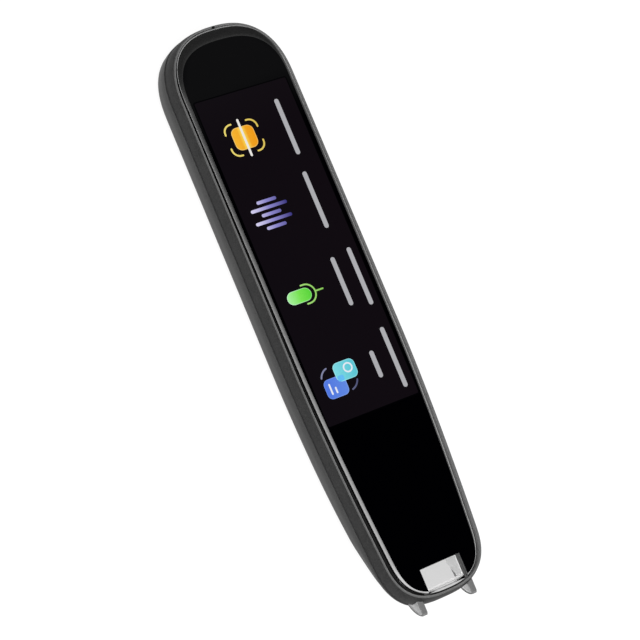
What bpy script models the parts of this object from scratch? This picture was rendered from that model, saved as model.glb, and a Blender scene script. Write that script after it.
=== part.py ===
"""Scanning pen, lying on its back.

The screen faces +Z, the scanning tip points to -Y and the wide end to +Y.
The origin is the centre of the bounding box, down on the back's flat.
Everything is in metres.
"""

import math

import bmesh
import bpy
from mathutils import Vector

# Case: plan curve of the bright lip that runs round the glass
TOTAL_LENGTH = 0.1540
FOOT_REACH = 0.0021
NOSE_FLARE = 0.0011
TOP_FLARE = 0.00095
LIP_HALF_WIDTH = 0.01558
LIP_WIDTH = 0.00045
TOP_RUN = 0.0172
TOP_POWER = 2.7
TIP_RUN = 0.0118
TIP_POWER = 2.9
TAPER_LENGTH = 0.0638
TAPER_DROP = 0.00335
TAPER_POWER = 1.75
TIP_STEPS = 8
SIDE_STEPS = 7
TOP_STEPS = 9

# Case: gaps between its levels
PARTING_OVER_BOARD = 0.0006
PARTING_GAP = 0.0003
LIP_BELOW_GLASS = 0.0006
CLEARANCE = 0.0003

# Front shell
SHELL_WALL = 0.0013
SHELL_FLARE = 0.00057
SHELL_EDGE_DROP = 0.0003
SHELL_EDGE_WIDTH = 0.00014
SHELL_MID_SHARE = 0.7
SHELL_INNER_SHARE = 0.7
LEDGE_WIDTH = 0.00125
LEDGE_TIP_WIDTH = 0.0008
LEDGE_THICKNESS = 0.00055

# Cover lens
LENS_THICKNESS = 0.00125
LENS_GAP = 0.00038
LENS_TAPER_LENGTH = 0.1218
LENS_EXTRA_DROP = 0.0007
BEVEL_WIDTH = 0.00085
BEVEL_TOP_WIDTH = 0.0026
BEVEL_DROP = 0.00045
WINDOW_WIDTH = 0.01148
WINDOW_LENGTH = 0.0055
WINDOW_FROM_LENS_TIP = 0.00110
GASKET_THICKNESS = 0.0003
GASKET_INSET = 0.0001

# Back cover
COVER_WALL = 0.0014
COVER_BULGE = 0.0004
COVER_TURN_SIDE = 0.0046
COVER_TURN_TOP = 0.0066
COVER_TURN_STEPS = 4
RISE_LENGTH = 0.0479
FLOOR_UNDER_LIGHT_BOARD = 0.00056
RISE_SHARE = 0.95
COVER_PINCH = 0.0014
COVER_PINCH_LENGTH = 0.0190
COVER_PINCH_SHARE = 0.42
TONGUE_INSET = 0.00105
TONGUE_WIDTH = 0.0009
TONGUE_HEIGHT = 0.0004
CAVITY_TIP_INSET = 0.0105
MOUTH_SIDE_GAP = 0.001175
MOUTH_REAR_GAP = 0.0005
OVERRUN = 0.0040
RIB_THICKNESS = 0.0008
RIB_HEIGHT = 0.0030
RIB_ROOT_SHARE = 0.5
BATTERY_STOP_WIDTH = 0.0140
SOCKET_RIB_LENGTH = 0.0035
SOCKET_RIB_INSET = 0.0010

# Display
DISPLAY_SIDE_GAP = 0.00088
DISPLAY_FROM_BOARD_TIP = 0.0091
DISPLAY_THICKNESS = 0.0015
DISPLAY_FROM_TOP = 0.0177
FLEX_HALF_WIDTH = 0.0070
FLEX_THICKNESS = 0.0003
FLEX_TAIL = 0.0040
FLEX_REACH = 0.0012
FLEX_STEPS = 6
FLEX_CONNECTOR_SIZE = (0.0150, 0.0030, 0.0009)

# Chassis under the display
CHASSIS_THICKNESS = 0.0008
CHASSIS_INSET = 0.00135
CHASSIS_FROM_TOP = 0.01205
BOSS_RADIUS = 0.0016
SEAT_THICKNESS = 0.0012
SEAT_WIDTH = 0.0032
FLEX_SLOT_LENGTH = 0.0040
FLEX_SLOT_MARGIN = 0.0008

# Main board and what sits on it
BOARD_THICKNESS = 0.0010
BOARD_SIDE_INSET = 0.00258
BOARD_FROM_SENSOR = 0.0025
BOARD_FROM_TOP = 0.00355
SCREW_FROM_SIDE = 0.0028
SCREW_FROM_TIP = 0.0050
SCREW_FROM_TOP = 0.0120
SCREW_RADIUS = 0.0005
SCREW_HEAD_RADIUS = 0.0013
SCREW_HEAD_HEIGHT = 0.0006
SCREW_HEAD_TOP_SHARE = 0.7
SCREW_BITE = 0.0017
PROCESSOR_SIZE = (0.0120, 0.0120, 0.0011)
PROCESSOR_FROM_MIDDLE = 0.0115
MEMORY_SIZE = (0.0100, 0.0080, 0.0010)
CHIP_GAP = 0.0050
SHIELD_SIZE = (0.0150, 0.0130, 0.0017)
SHIELD_FROM_TOP = 0.0305
SHIELD_WALL = 0.0004
SHIELD_HEADROOM = 0.00075
MIC_SIZE = (0.0030, 0.0022, 0.0010)
MIC_INSET = 0.0025
MIC_HOLE_RADIUS = 0.00045
ANTENNA_THICKNESS = 0.0004
ANTENNA_HEIGHT = 0.0015
ANTENNA_INSET = 0.0013

# Battery
BATTERY_WIDTH = 0.0210
BATTERY_THICKNESS = 0.0052
BATTERY_FROM_BOARD_TIP = 0.0105
BATTERY_FROM_SPEAKER = 0.0110
BATTERY_EDGE = 0.0012
BATTERY_HEADROOM = 0.0007
CONNECTOR_SIZE = (0.0060, 0.0030, 0.0012)
CONNECTOR_GAP = 0.0016

# Speaker
SPEAKER_WIDTH = 0.0130
SPEAKER_LENGTH = 0.0180
SPEAKER_FROM_TOP = 0.02705
SPEAKER_HEADROOM = 0.0005
SPEAKER_MESH_THICKNESS = 0.0003
SPEAKER_GASKET_THICKNESS = 0.0005
SPEAKER_GASKET_WIDTH = 0.0012
GRILLE_SLOTS = 5
GRILLE_PITCH = 0.0022
GRILLE_SLOT_LENGTH = 0.0085
GRILLE_SLOT_WIDTH = 0.0010

# USB socket in the top end
USB_SIZE = (0.00894, 0.0074, 0.0032)
USB_WALL = 0.0003
USB_CORNER = 0.0012
USB_RECESS = 0.0005
USB_TONGUE_SIZE = (0.0062, 0.0050, 0.0007)

# Power button on the right side
BUTTON_FROM_TOP = 0.05605
BUTTON_LENGTH = 0.0100
BUTTON_HEIGHT = 0.0018
BUTTON_CORNER_SHARE = 0.45
BUTTON_PROUD = 0.0004
BUTTON_FLANGE_LENGTH = 0.0114
BUTTON_FLANGE_HEIGHT = 0.0021
BUTTON_FLANGE_THICKNESS = 0.00055
BUTTON_NUB = 0.0004
BUTTON_TRAVEL = 0.00035
BUTTON_SIDE_GAP = 0.00035
SWITCH_SIZE = (0.0019, 0.0040, 0.0032)
PLUNGER_RADIUS = 0.0006
PLUNGER_LENGTH = 0.0013

# Scan foot: clear fins, bridge and guide pins
FIN_THICKNESS = 0.00125
FIN_SPACING = 0.0142
FIN_DEPTH = 0.0078
FIN_RUN = 0.0089
FIN_HEEL = 0.0036
FIN_SHOULDER_DEPTH = 0.0043
FIN_EDGE = 0.0005
FIN_STEPS = 10
BRIDGE_LENGTH = 0.0019
BRIDGE_HEIGHT = 0.0027
BRIDGE_FROM_HEEL = 0.0010
FOOT_TRAVEL = 0.0010
PIN_RADIUS = 0.00075
PIN_LENGTH = 0.0061
PIN_OVER_BRIDGE_FOOT = 0.0006
SPRING_RADIUS = 0.0013
SPRING_WIRE_RADIUS = 0.00018
SPRING_TURNS = 5
SPRING_STEPS = 10

# Trigger behind the bridge
TRIGGER_WIDTH = 0.0042
TRIGGER_HEIGHT = 0.0024
TRIGGER_SPARE = 0.0004
TRIGGER_PLUNGER_LENGTH = 0.0038
TRIGGER_FLOOR = 0.0007

# Scan frame: the clear, hollow head under the viewing window
FRAME_WALL = 0.0009
FRAME_PLATE = 0.0008
FRAME_FRONT_GAP = 0.0024
FRAME_REAR_GAP = 0.0006
FRAME_DEPTH = 0.0061
FRAME_CHAMFER = 0.0030

# Camera, its tunnel and the lamps
OPTIC_BELOW_BOARD = 0.0010
TUNNEL_STAND_OFF = 0.0015
TUNNEL_FRONT_SIZE = (0.0112, 0.0038)
TUNNEL_RISE = 0.00095
TUNNEL_REAR_SIZE = (0.0070, 0.0050)
TUNNEL_WALL = 0.0007
LIGHT_BOARD_THICKNESS = 0.0008
LIGHT_BOARD_HALF_WIDTH = 0.0084
LIGHT_BOARD_DROP = 0.0027
LAMP_SIZE = (0.0020, 0.0010, 0.0020)
LAMP_INSET = 0.0013
BARREL_RADIUS = 0.0021
BARREL_LENGTH = 0.0058
BARREL_RECESS = 0.0010
BARREL_RIM = 0.0004
CAMERA_SIZE = (0.0084, 0.0030, 0.0070)
SENSOR_SIZE = (0.0120, 0.0008, 0.0074)
BORE_MARGIN = 0.0003

# Levels above the back, from the floor of the cover up to the glass
FLOOR_Z = COVER_WALL
BOARD_Z = FLOOR_Z + CLEARANCE + BATTERY_THICKNESS + BATTERY_HEADROOM
BOARD_TOP_Z = BOARD_Z + BOARD_THICKNESS
PARTING_Z = BOARD_TOP_Z + PARTING_OVER_BOARD
COVER_TOP_Z = PARTING_Z - PARTING_GAP
CHASSIS_BOTTOM_Z = BOARD_TOP_Z + CLEARANCE + SHIELD_SIZE[2] + SHIELD_HEADROOM
CHASSIS_TOP_Z = CHASSIS_BOTTOM_Z + CHASSIS_THICKNESS
DISPLAY_BOTTOM_Z = CHASSIS_TOP_Z + CLEARANCE
DISPLAY_TOP_Z = DISPLAY_BOTTOM_Z + DISPLAY_THICKNESS
GLASS_BOTTOM_Z = DISPLAY_TOP_Z + CLEARANCE
GLASS_TOP_Z = GLASS_BOTTOM_Z + LENS_THICKNESS
LIP_Z = GLASS_TOP_Z - LIP_BELOW_GLASS
LEDGE_TOP_Z = GLASS_BOTTOM_Z - 2 * CLEARANCE - GASKET_THICKNESS
LEDGE_BOTTOM_Z = LEDGE_TOP_Z - LEDGE_THICKNESS
BUTTON_Z = (PARTING_Z + LEDGE_BOTTOM_Z) / 2
FIN_TOP_Z = LEDGE_BOTTOM_Z - CLEARANCE
BRIDGE_BOTTOM_Z = FIN_TOP_Z - BRIDGE_HEIGHT
PIN_Z = BRIDGE_BOTTOM_Z + PIN_OVER_BRIDGE_FOOT
TRIGGER_Z = (BRIDGE_BOTTOM_Z + FIN_TOP_Z) / 2
OPTIC_Z = BOARD_Z - OPTIC_BELOW_BOARD
USB_Z = BOARD_Z - CLEARANCE - USB_SIZE[2] / 2
FLEX_HIGH_Z = DISPLAY_BOTTOM_Z + DISPLAY_THICKNESS / 2
FLEX_LOW_Z = BOARD_TOP_Z + 2 * CLEARANCE + FLEX_CONNECTOR_SIZE[2] + FLEX_THICKNESS / 2
FLEX_RADIUS = (FLEX_HIGH_Z - FLEX_LOW_Z) / 2

# Places along the pen
FOOT_END_Y = -TOTAL_LENGTH / 2
TOP_Y = TOTAL_LENGTH / 2
NOSE_Y = FOOT_END_Y + FOOT_REACH
LIP_TIP_Y = NOSE_Y + NOSE_FLARE
LIP_TOP_Y = TOP_Y - TOP_FLARE
TAPER_START = LIP_TIP_Y + TAPER_LENGTH
RISE_START = NOSE_Y + RISE_LENGTH
LENS_TOP_Y = LIP_TOP_Y - LIP_WIDTH - LENS_GAP
LENS_TIP_Y = LIP_TIP_Y + LIP_WIDTH + CLEARANCE
WINDOW_Y = LENS_TIP_Y + WINDOW_FROM_LENS_TIP + WINDOW_LENGTH / 2
FIN_HEEL_Y = FOOT_END_Y + FIN_RUN + FIN_HEEL
MOUTH_REAR_Y = FIN_HEEL_Y + FOOT_TRAVEL + MOUTH_REAR_GAP
BRIDGE_Y = FIN_HEEL_Y + BRIDGE_FROM_HEEL
BRIDGE_REAR_Y = BRIDGE_Y + BRIDGE_LENGTH
FRAME_REAR_Y = BRIDGE_Y - FRAME_REAR_GAP
PIN_END_Y = BRIDGE_REAR_Y + PIN_LENGTH
SEAT_Y = PIN_END_Y - SEAT_THICKNESS
TRIGGER_FACE_Y = BRIDGE_REAR_Y + FOOT_TRAVEL + TRIGGER_SPARE
TRIGGER_BORE_Y = BRIDGE_REAR_Y + 2 * CLEARANCE + TRIGGER_PLUNGER_LENGTH + FOOT_TRAVEL
TRIGGER_REAR_Y = TRIGGER_BORE_Y + TRIGGER_FLOOR
TUNNEL_FRONT_Y = FRAME_REAR_Y + TUNNEL_STAND_OFF
TUNNEL_REAR_Y = PIN_END_Y + FOOT_TRAVEL
LIGHT_BOARD_Y = TUNNEL_REAR_Y + CLEARANCE
HOUSING_Y = LIGHT_BOARD_Y + BARREL_LENGTH + CLEARANCE
SENSOR_Y = HOUSING_Y + CAMERA_SIZE[1] + CLEARANCE
BOARD_TIP_Y = SENSOR_Y + SENSOR_SIZE[1] + BOARD_FROM_SENSOR
BOARD_TOP_Y = LIP_TOP_Y - BOARD_FROM_TOP
SPEAKER_Y = LIP_TOP_Y - SPEAKER_FROM_TOP
BUTTON_Y = LIP_TOP_Y - BUTTON_FROM_TOP
BATTERY_TIP_Y = BOARD_TIP_Y + BATTERY_FROM_BOARD_TIP
BATTERY_TOP_Y = SPEAKER_Y - SPEAKER_LENGTH / 2 - BATTERY_FROM_SPEAKER
SOCKET_REAR_Y = TOP_Y - USB_RECESS - USB_SIZE[1]

# The back climbs so that its floor passes just under the light board
RISE_AT_BOARD_SHARE = (
    OPTIC_Z - LIGHT_BOARD_DROP - FLOOR_UNDER_LIGHT_BOARD - COVER_WALL
) / COVER_TOP_Z
RISE_POWER = math.log(RISE_AT_BOARD_SHARE / RISE_SHARE) / math.log(
    (RISE_START - LIGHT_BOARD_Y) / RISE_LENGTH
)

# Places across the pen
FIN_X = FIN_SPACING / 2
DISPLAY_HALF_WIDTH = LIP_HALF_WIDTH - LIP_WIDTH - LEDGE_WIDTH - DISPLAY_SIDE_GAP
BOARD_HALF_WIDTH = LIP_HALF_WIDTH - BOARD_SIDE_INSET


def material(name, colour, roughness, metallic=0.0, transmission=0.0):
    """A plain Principled surface."""
    made = bpy.data.materials.new(name)
    made.use_nodes = True
    shader = made.node_tree.nodes["Principled BSDF"]
    shader.inputs["Base Color"].default_value = (*colour, 1.0)
    shader.inputs["Roughness"].default_value = roughness
    shader.inputs["Metallic"].default_value = metallic
    shader.inputs["Transmission Weight"].default_value = transmission
    return made


def add_object(name, mesh_data, surface=None, smooth_angle=None):
    """Link a bmesh as an object, facing out, with its surface."""
    bmesh.ops.recalc_face_normals(mesh_data, faces=mesh_data.faces)
    mesh = bpy.data.meshes.new(name)
    mesh_data.to_mesh(mesh)
    mesh_data.free()
    if smooth_angle:
        mesh.shade_smooth()
        mesh.set_sharp_from_angle(angle=math.radians(smooth_angle))
    made = bpy.data.objects.new(name, mesh)
    bpy.context.scene.collection.objects.link(made)
    if surface:
        mesh.materials.append(surface)
    else:
        made.hide_render = True
        made.display_type = "WIRE"
    return made


def boolean(target, other, operation="DIFFERENCE"):
    """Add one exact Boolean to the target and keep the other as a guide."""
    step = target.modifiers.new(operation.title(), "BOOLEAN")
    step.operation = operation
    step.solver = "EXACT"
    step.object = other
    other.hide_render = True
    other.display_type = "WIRE"


def bevel(target, width, segments=2):
    """Round the target's sharp edges."""
    step = target.modifiers.new("Bevel", "BEVEL")
    step.width = width
    step.segments = segments
    step.limit_method = "ANGLE"
    step.angle_limit = math.radians(40)


def block(name, size, centre, surface=None, edge=None):
    """A box with its centre at the given place and optional rounded edges."""
    shape = bmesh.new()
    bmesh.ops.create_cube(shape, size=1.0)
    bmesh.ops.scale(shape, vec=Vector(size), verts=shape.verts)
    made = add_object(name, shape, surface)
    made.location = centre
    if edge:
        bevel(made, edge)
    return made


def span(name, low, high, surface=None, edge=None):
    """A box between two corners."""
    size = [b - a for a, b in zip(low, high)]
    centre = [(a + b) / 2 for a, b in zip(low, high)]
    return block(name, size, centre, surface, edge)


def rod(name, radius, length, centre, axis, surface=None, sides=16):
    """A cylinder about a centre, along one axis."""
    shape = bmesh.new()
    bmesh.ops.create_cone(
        shape, cap_ends=True, segments=sides, radius1=radius, radius2=radius, depth=length
    )
    turn = Vector((0, 0, 1)).rotation_difference(Vector(axis)).to_matrix()
    bmesh.ops.rotate(shape, matrix=turn, verts=shape.verts)
    made = add_object(name, shape, surface, smooth_angle=35)
    made.location = centre
    return made


def prism(name, points, low, high, plane, surface=None, smooth_angle=None):
    """Extrude a closed outline drawn in the xy, yz or xz plane."""
    place = {
        "xy": lambda a, b, c: (a, b, c),
        "yz": lambda a, b, c: (c, a, b),
        "xz": lambda a, b, c: (a, c, b),
    }[plane]
    shape = bmesh.new()
    face = shape.faces.new([shape.verts.new(place(a, b, low)) for a, b in points])
    pulled = bmesh.ops.extrude_face_region(shape, geom=[face])
    moved = [item for item in pulled["geom"] if isinstance(item, bmesh.types.BMVert)]
    bmesh.ops.translate(shape, vec=Vector(place(0, 0, high - low)), verts=moved)
    return add_object(name, shape, surface, smooth_angle)


def rounded_rectangle(width, height, radius, steps=4):
    """Outline with round corners, centred on zero."""
    points = []
    for corner in range(4):
        sign_x = (1, -1, -1, 1)[corner]
        sign_y = (1, 1, -1, -1)[corner]
        for step in range(steps + 1):
            angle = math.radians(90 * (corner + step / steps))
            points.append((
                sign_x * (width / 2 - radius) + radius * math.cos(angle),
                sign_y * (height / 2 - radius) + radius * math.sin(angle),
            ))
    return points


def plan(side=0.0, top=None, tip=None, taper_start=TAPER_START, extra_drop=0.0):
    """Plan curve of the pen, grown outwards from the lip by side, top and tip.

    It starts at the middle of the tip, runs up the right side to the middle
    of the top end and comes back down the left side, so that point i and
    point -i face each other across the pen.
    """
    top = side if top is None else top
    tip = side if tip is None else tip
    half_width = LIP_HALF_WIDTH + side
    tip_y = LIP_TIP_Y - tip
    top_y = LIP_TOP_Y + top
    tip_run = TIP_RUN + tip
    top_run = TOP_RUN + top

    def width_at(y):
        lip_share = max(0.0, (TAPER_START - y) / (TAPER_START - LIP_TIP_Y))
        extra_share = max(0.0, (taper_start - y) / (taper_start - LIP_TIP_Y))
        narrower = TAPER_DROP * lip_share ** TAPER_POWER + extra_drop * extra_share
        return half_width - narrower

    right = []
    for step in range(TIP_STEPS + 1):
        angle = math.radians(90 * (1 - step / TIP_STEPS))
        y = tip_y + tip_run * (1 - math.sin(angle) ** (2 / TIP_POWER))
        right.append((width_at(y) * math.cos(angle) ** (2 / TIP_POWER), y))
    low_y = tip_y + tip_run
    high_y = top_y - top_run
    for step in range(1, SIDE_STEPS):
        y = low_y + (high_y - low_y) * step / SIDE_STEPS
        right.append((width_at(y), y))
    for step in range(TOP_STEPS + 1):
        angle = math.radians(90 * step / TOP_STEPS)
        y = high_y + top_run * math.sin(angle) ** (2 / TOP_POWER)
        right.append((width_at(y) * math.cos(angle) ** (2 / TOP_POWER), y))
    right[0] = (0.0, tip_y)
    right[-1] = (0.0, top_y)
    left = [(-x, y) for x, y in reversed(right[1:-1])]
    return right + left


def level(points, height):
    """Put a plan curve at a height, which may be a rule of y."""
    if callable(height):
        return [(x, y, height(y)) for x, y in points]
    return [(x, y, height) for x, y in points]


def loft(name, rings, surface=None, ring_shape=False, smooth_angle=None):
    """Join rings of equal count; close it as a ring, or cap both ends.

    A cap runs straight across the pen from each point to its opposite one.
    """
    shape = bmesh.new()
    made = [[shape.verts.new(point) for point in ring] for ring in rings]
    count = len(made[0])
    pairs = list(zip(made, made[1:]))
    if ring_shape:
        pairs.append((made[-1], made[0]))
    for lower, upper in pairs:
        for i in range(count):
            j = (i + 1) % count
            shape.faces.new((lower[i], lower[j], upper[j], upper[i]))
    if not ring_shape:
        for ring in (made[0], made[-1]):
            shape.faces.new((ring[0], ring[1], ring[-1]))
            for i in range(1, count // 2 - 1):
                shape.faces.new((ring[i], ring[i + 1], ring[-i - 1], ring[-i]))
            shape.faces.new((ring[count // 2 - 1], ring[count // 2], ring[count // 2 + 1]))
    return add_object(name, shape, surface, smooth_angle)


def plate(name, points, low, high, surface=None):
    """A flat plate with a plan curve for its outline."""
    return loft(name, [level(points, low), level(points, high)], surface)


def rise(y):
    """How far the back climbs towards the tip, as a share of the cover's depth."""
    share = max(0.0, (RISE_START - y) / (RISE_START - NOSE_Y))
    return RISE_SHARE * min(share, 1.0) ** RISE_POWER


def cover_depth(y):
    """Depth of the back cover below the parting line."""
    return COVER_TOP_Z * (1 - rise(y))


def cover_level(depth_share, wall=0.0):
    """Height rule of a ring of the back cover, lifted by the wall inside."""
    def height(y):
        depth = cover_depth(y) - wall
        return COVER_TOP_Z - depth_share * depth
    return height


def cover_plan(side, top, tip, depth_share):
    """Plan curve of the cover, pinched in at the tip below its shoulder."""
    pinch = COVER_PINCH * min(max(depth_share, 0.0) / COVER_PINCH_SHARE, 1.0)
    return plan(side, top, tip, LIP_TIP_Y + COVER_PINCH_LENGTH, pinch)


def clear_scene():
    """Remove whatever the file opened with."""
    for item in list(bpy.data.objects):
        bpy.data.objects.remove(item, do_unlink=True)


def add_cover_ribs(cover):
    """Ribs on the cover's floor: battery stops, speaker well and socket cradle."""
    root = RIB_ROOT_SHARE * FLOOR_Z
    top = FLOOR_Z + RIB_HEIGHT
    for name, low_y, high_y in (
        ("battery_stop_tip", BATTERY_TIP_Y - CLEARANCE - RIB_THICKNESS, BATTERY_TIP_Y - CLEARANCE),
        ("battery_stop_top", BATTERY_TOP_Y + CLEARANCE, BATTERY_TOP_Y + CLEARANCE + RIB_THICKNESS),
    ):
        boolean(cover, span(
            name, (-BATTERY_STOP_WIDTH / 2, low_y, root), (BATTERY_STOP_WIDTH / 2, high_y, top)
        ), "UNION")
    well_width = SPEAKER_WIDTH + 2 * CLEARANCE
    well_length = SPEAKER_LENGTH + 2 * CLEARANCE
    middle = (0, SPEAKER_Y, (root + top) / 2)
    well = block(
        "speaker_well", (well_width + 2 * RIB_THICKNESS, well_length + 2 * RIB_THICKNESS, top - root),
        middle,
    )
    boolean(well, block("speaker_well_hole", (well_width, well_length, 2 * top), middle))
    boolean(cover, well, "UNION")
    low_y = SOCKET_REAR_Y + SOCKET_RIB_INSET
    for side in (-1, 1):
        near = USB_SIZE[0] / 2 + CLEARANCE
        edges = sorted((side * near, side * (near + RIB_THICKNESS)))
        boolean(cover, span(
            "socket_rib_left" if side < 0 else "socket_rib_right",
            (edges[0], low_y, root), (edges[1], low_y + SOCKET_RIB_LENGTH, USB_Z),
        ), "UNION")
    boolean(cover, span(
        "socket_shelf", (-USB_SIZE[0] / 2, low_y, root),
        (USB_SIZE[0] / 2, low_y + RIB_THICKNESS, USB_Z - USB_SIZE[2] / 2 - CLEARANCE),
    ), "UNION")


def make_back_cover(surface):
    """Curved lower shell with a tongue, an open mouth, grille and socket hole."""
    outer_sides = (SHELL_FLARE, SHELL_FLARE + COVER_BULGE, SHELL_FLARE + COVER_BULGE)
    depth_shares = (0.0, 0.26, COVER_PINCH_SHARE)
    rings = []
    for side, share in zip(outer_sides, depth_shares):
        ring = cover_plan(side, TOP_FLARE, NOSE_FLARE, share)
        rings.append(level(ring, cover_level(share)))
    for step in range(1, COVER_TURN_STEPS + 1):
        angle = math.radians(90 * step / COVER_TURN_STEPS)
        inward = 1 - math.cos(angle)
        side = SHELL_FLARE + COVER_BULGE - COVER_TURN_SIDE * inward
        top = TOP_FLARE - COVER_TURN_TOP * inward
        tip = NOSE_FLARE - COVER_TURN_SIDE * inward
        share = depth_shares[-1] + (1 - depth_shares[-1]) * math.sin(angle)
        rings.append(level(cover_plan(side, top, tip, share), cover_level(share)))
    outer = loft("back_cover", rings[::-1], surface, smooth_angle=40)

    cavity_shares = ((0.13, -0.3), (0.13, 0.15), (0.17, 0.55), (0.35, 0.82), (0.74, 1.0))
    inner_rings = []
    for inset_share, share in cavity_shares:
        inset = COVER_TURN_SIDE * inset_share
        side = SHELL_FLARE - COVER_WALL - inset
        ring = cover_plan(side, TOP_FLARE - COVER_WALL - inset, -CAVITY_TIP_INSET, share)
        inner_rings.append(level(ring, cover_level(share, COVER_WALL)))
    boolean(outer, loft("cover_cavity", inner_rings[::-1]))

    tongue = [
        level(plan(-TONGUE_INSET, -TONGUE_INSET, -TONGUE_INSET), COVER_TOP_Z - CLEARANCE),
        level(plan(-TONGUE_INSET, -TONGUE_INSET, -TONGUE_INSET), COVER_TOP_Z + TONGUE_HEIGHT),
    ]
    inset = TONGUE_INSET + TONGUE_WIDTH
    inside = [
        level(plan(-inset, -inset, -inset), COVER_TOP_Z + TONGUE_HEIGHT),
        level(plan(-inset, -inset, -inset), COVER_TOP_Z - CLEARANCE),
    ]
    boolean(outer, loft("cover_tongue", tongue + inside, ring_shape=True), "UNION")

    add_cover_ribs(outer)
    mouth_half = FIN_X + FIN_THICKNESS / 2 + MOUTH_SIDE_GAP
    boolean(outer, span(
        "cover_mouth",
        (-mouth_half, FOOT_END_Y - OVERRUN, -OVERRUN),
        (mouth_half, MOUTH_REAR_Y, PARTING_Z + OVERRUN),
    ))
    for slot in range(GRILLE_SLOTS):
        y = SPEAKER_Y + GRILLE_PITCH * (slot - (GRILLE_SLOTS - 1) / 2)
        outline = rounded_rectangle(GRILLE_SLOT_LENGTH, GRILLE_SLOT_WIDTH, GRILLE_SLOT_WIDTH / 2)
        cutter = prism(
            f"grille_slot_{slot + 1}", [(x, y + dy) for x, dy in outline],
            -OVERRUN, FLOOR_Z + CLEARANCE, "xy",
        )
        boolean(outer, cutter)
    hole = rounded_rectangle(
        USB_SIZE[0] + 2 * CLEARANCE, USB_SIZE[2] + 2 * CLEARANCE, USB_CORNER + CLEARANCE
    )
    boolean(outer, prism(
        "cover_usb_hole", [(x, USB_Z + dz) for x, dz in hole],
        TOP_Y - USB_SIZE[1], TOP_Y + OVERRUN, "xz",
    ))
    return outer


def ledge_plan(clearance=0.0):
    """Inner edge of the ledge under the glass, narrower at the tip."""
    side = -LIP_WIDTH - LEDGE_WIDTH - clearance
    return plan(side, side, -LIP_WIDTH - LEDGE_TIP_WIDTH - clearance)


def make_front_shell(surface):
    """Ring wall with the bright lip, the ledge under the glass and the fin slots."""
    edge = SHELL_EDGE_WIDTH
    flares = (SHELL_FLARE, TOP_FLARE, NOSE_FLARE)
    inner_end = -SHELL_INNER_SHARE * SHELL_WALL
    rings = [
        level(plan(-LIP_WIDTH), LIP_Z),
        level(plan(0.0), LIP_Z),
        level(plan(edge), LIP_Z - SHELL_EDGE_DROP),
        level(plan(*(SHELL_MID_SHARE * flare for flare in flares)), (LIP_Z + PARTING_Z) / 2),
        level(plan(*flares), PARTING_Z),
        level(plan(*(flare - SHELL_WALL for flare in flares)), PARTING_Z),
        level(plan(SHELL_FLARE - SHELL_WALL - edge, inner_end, inner_end), LEDGE_BOTTOM_Z),
        level(ledge_plan(), LEDGE_BOTTOM_Z),
        level(ledge_plan(), LEDGE_TOP_Z),
        level(plan(-LIP_WIDTH), LEDGE_TOP_Z),
    ]
    shell = loft("front_shell", rings, surface, ring_shape=True, smooth_angle=40)
    for side in (-1, 1):
        reach = FIN_THICKNESS / 2 + CLEARANCE
        boolean(shell, span(
            "fin_slot_left" if side < 0 else "fin_slot_right",
            (side * FIN_X - reach, FOOT_END_Y - OVERRUN, PARTING_Z - OVERRUN),
            (side * FIN_X + reach, LENS_TIP_Y + WINDOW_LENGTH, FIN_TOP_Z + CLEARANCE),
        ))
    outline = rounded_rectangle(
        BUTTON_LENGTH + 2 * BUTTON_SIDE_GAP, BUTTON_HEIGHT + 2 * BUTTON_SIDE_GAP,
        BUTTON_HEIGHT / 2,
    )
    boolean(shell, prism(
        "button_hole", [(BUTTON_Y + dy, BUTTON_Z + dz) for dy, dz in outline],
        LIP_HALF_WIDTH - 2 * SHELL_WALL, LIP_HALF_WIDTH + OVERRUN, "yz",
    ))
    boolean(shell, rod(
        "microphone_hole", MIC_HOLE_RADIUS, LIP_Z - LEDGE_TOP_Z,
        (0, LIP_TOP_Y - LIP_WIDTH, LIP_Z), (0, 0, 1), sides=10,
    ))
    return shell


def make_cover_lens(surface):
    """Glass plate with a bevelled edge, wider at the top end, and a cut-out."""
    side = -LIP_WIDTH - LENS_GAP
    tip = -LIP_WIDTH - CLEARANCE
    taper = {"taper_start": LIP_TIP_Y + LENS_TAPER_LENGTH, "extra_drop": LENS_EXTRA_DROP}
    edge = plan(side, side, tip, **taper)
    flat = plan(side - BEVEL_WIDTH, side - BEVEL_TOP_WIDTH, tip - BEVEL_WIDTH, **taper)
    rings = [
        level(edge, GLASS_BOTTOM_Z),
        level(edge, GLASS_TOP_Z - BEVEL_DROP),
        level(flat, GLASS_TOP_Z),
    ]
    lens = loft("cover_lens", rings, surface, smooth_angle=10)
    boolean(lens, block(
        "window_hole", (WINDOW_WIDTH, WINDOW_LENGTH, 2 * LENS_THICKNESS + OVERRUN),
        (0, WINDOW_Y, GLASS_TOP_Z),
    ))
    return lens


def make_lens_gasket(surface):
    """Thin adhesive ring between the ledge and the glass."""
    side = -LIP_WIDTH - LENS_GAP - GASKET_INSET
    outer = plan(side, side, -LIP_WIDTH - CLEARANCE)
    inner = ledge_plan(-GASKET_INSET)
    low = LEDGE_TOP_Z + CLEARANCE
    rings = [
        level(inner, low),
        level(outer, low),
        level(outer, low + GASKET_THICKNESS),
        level(inner, low + GASKET_THICKNESS),
    ]
    return loft("lens_gasket", rings, surface, ring_shape=True)


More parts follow.
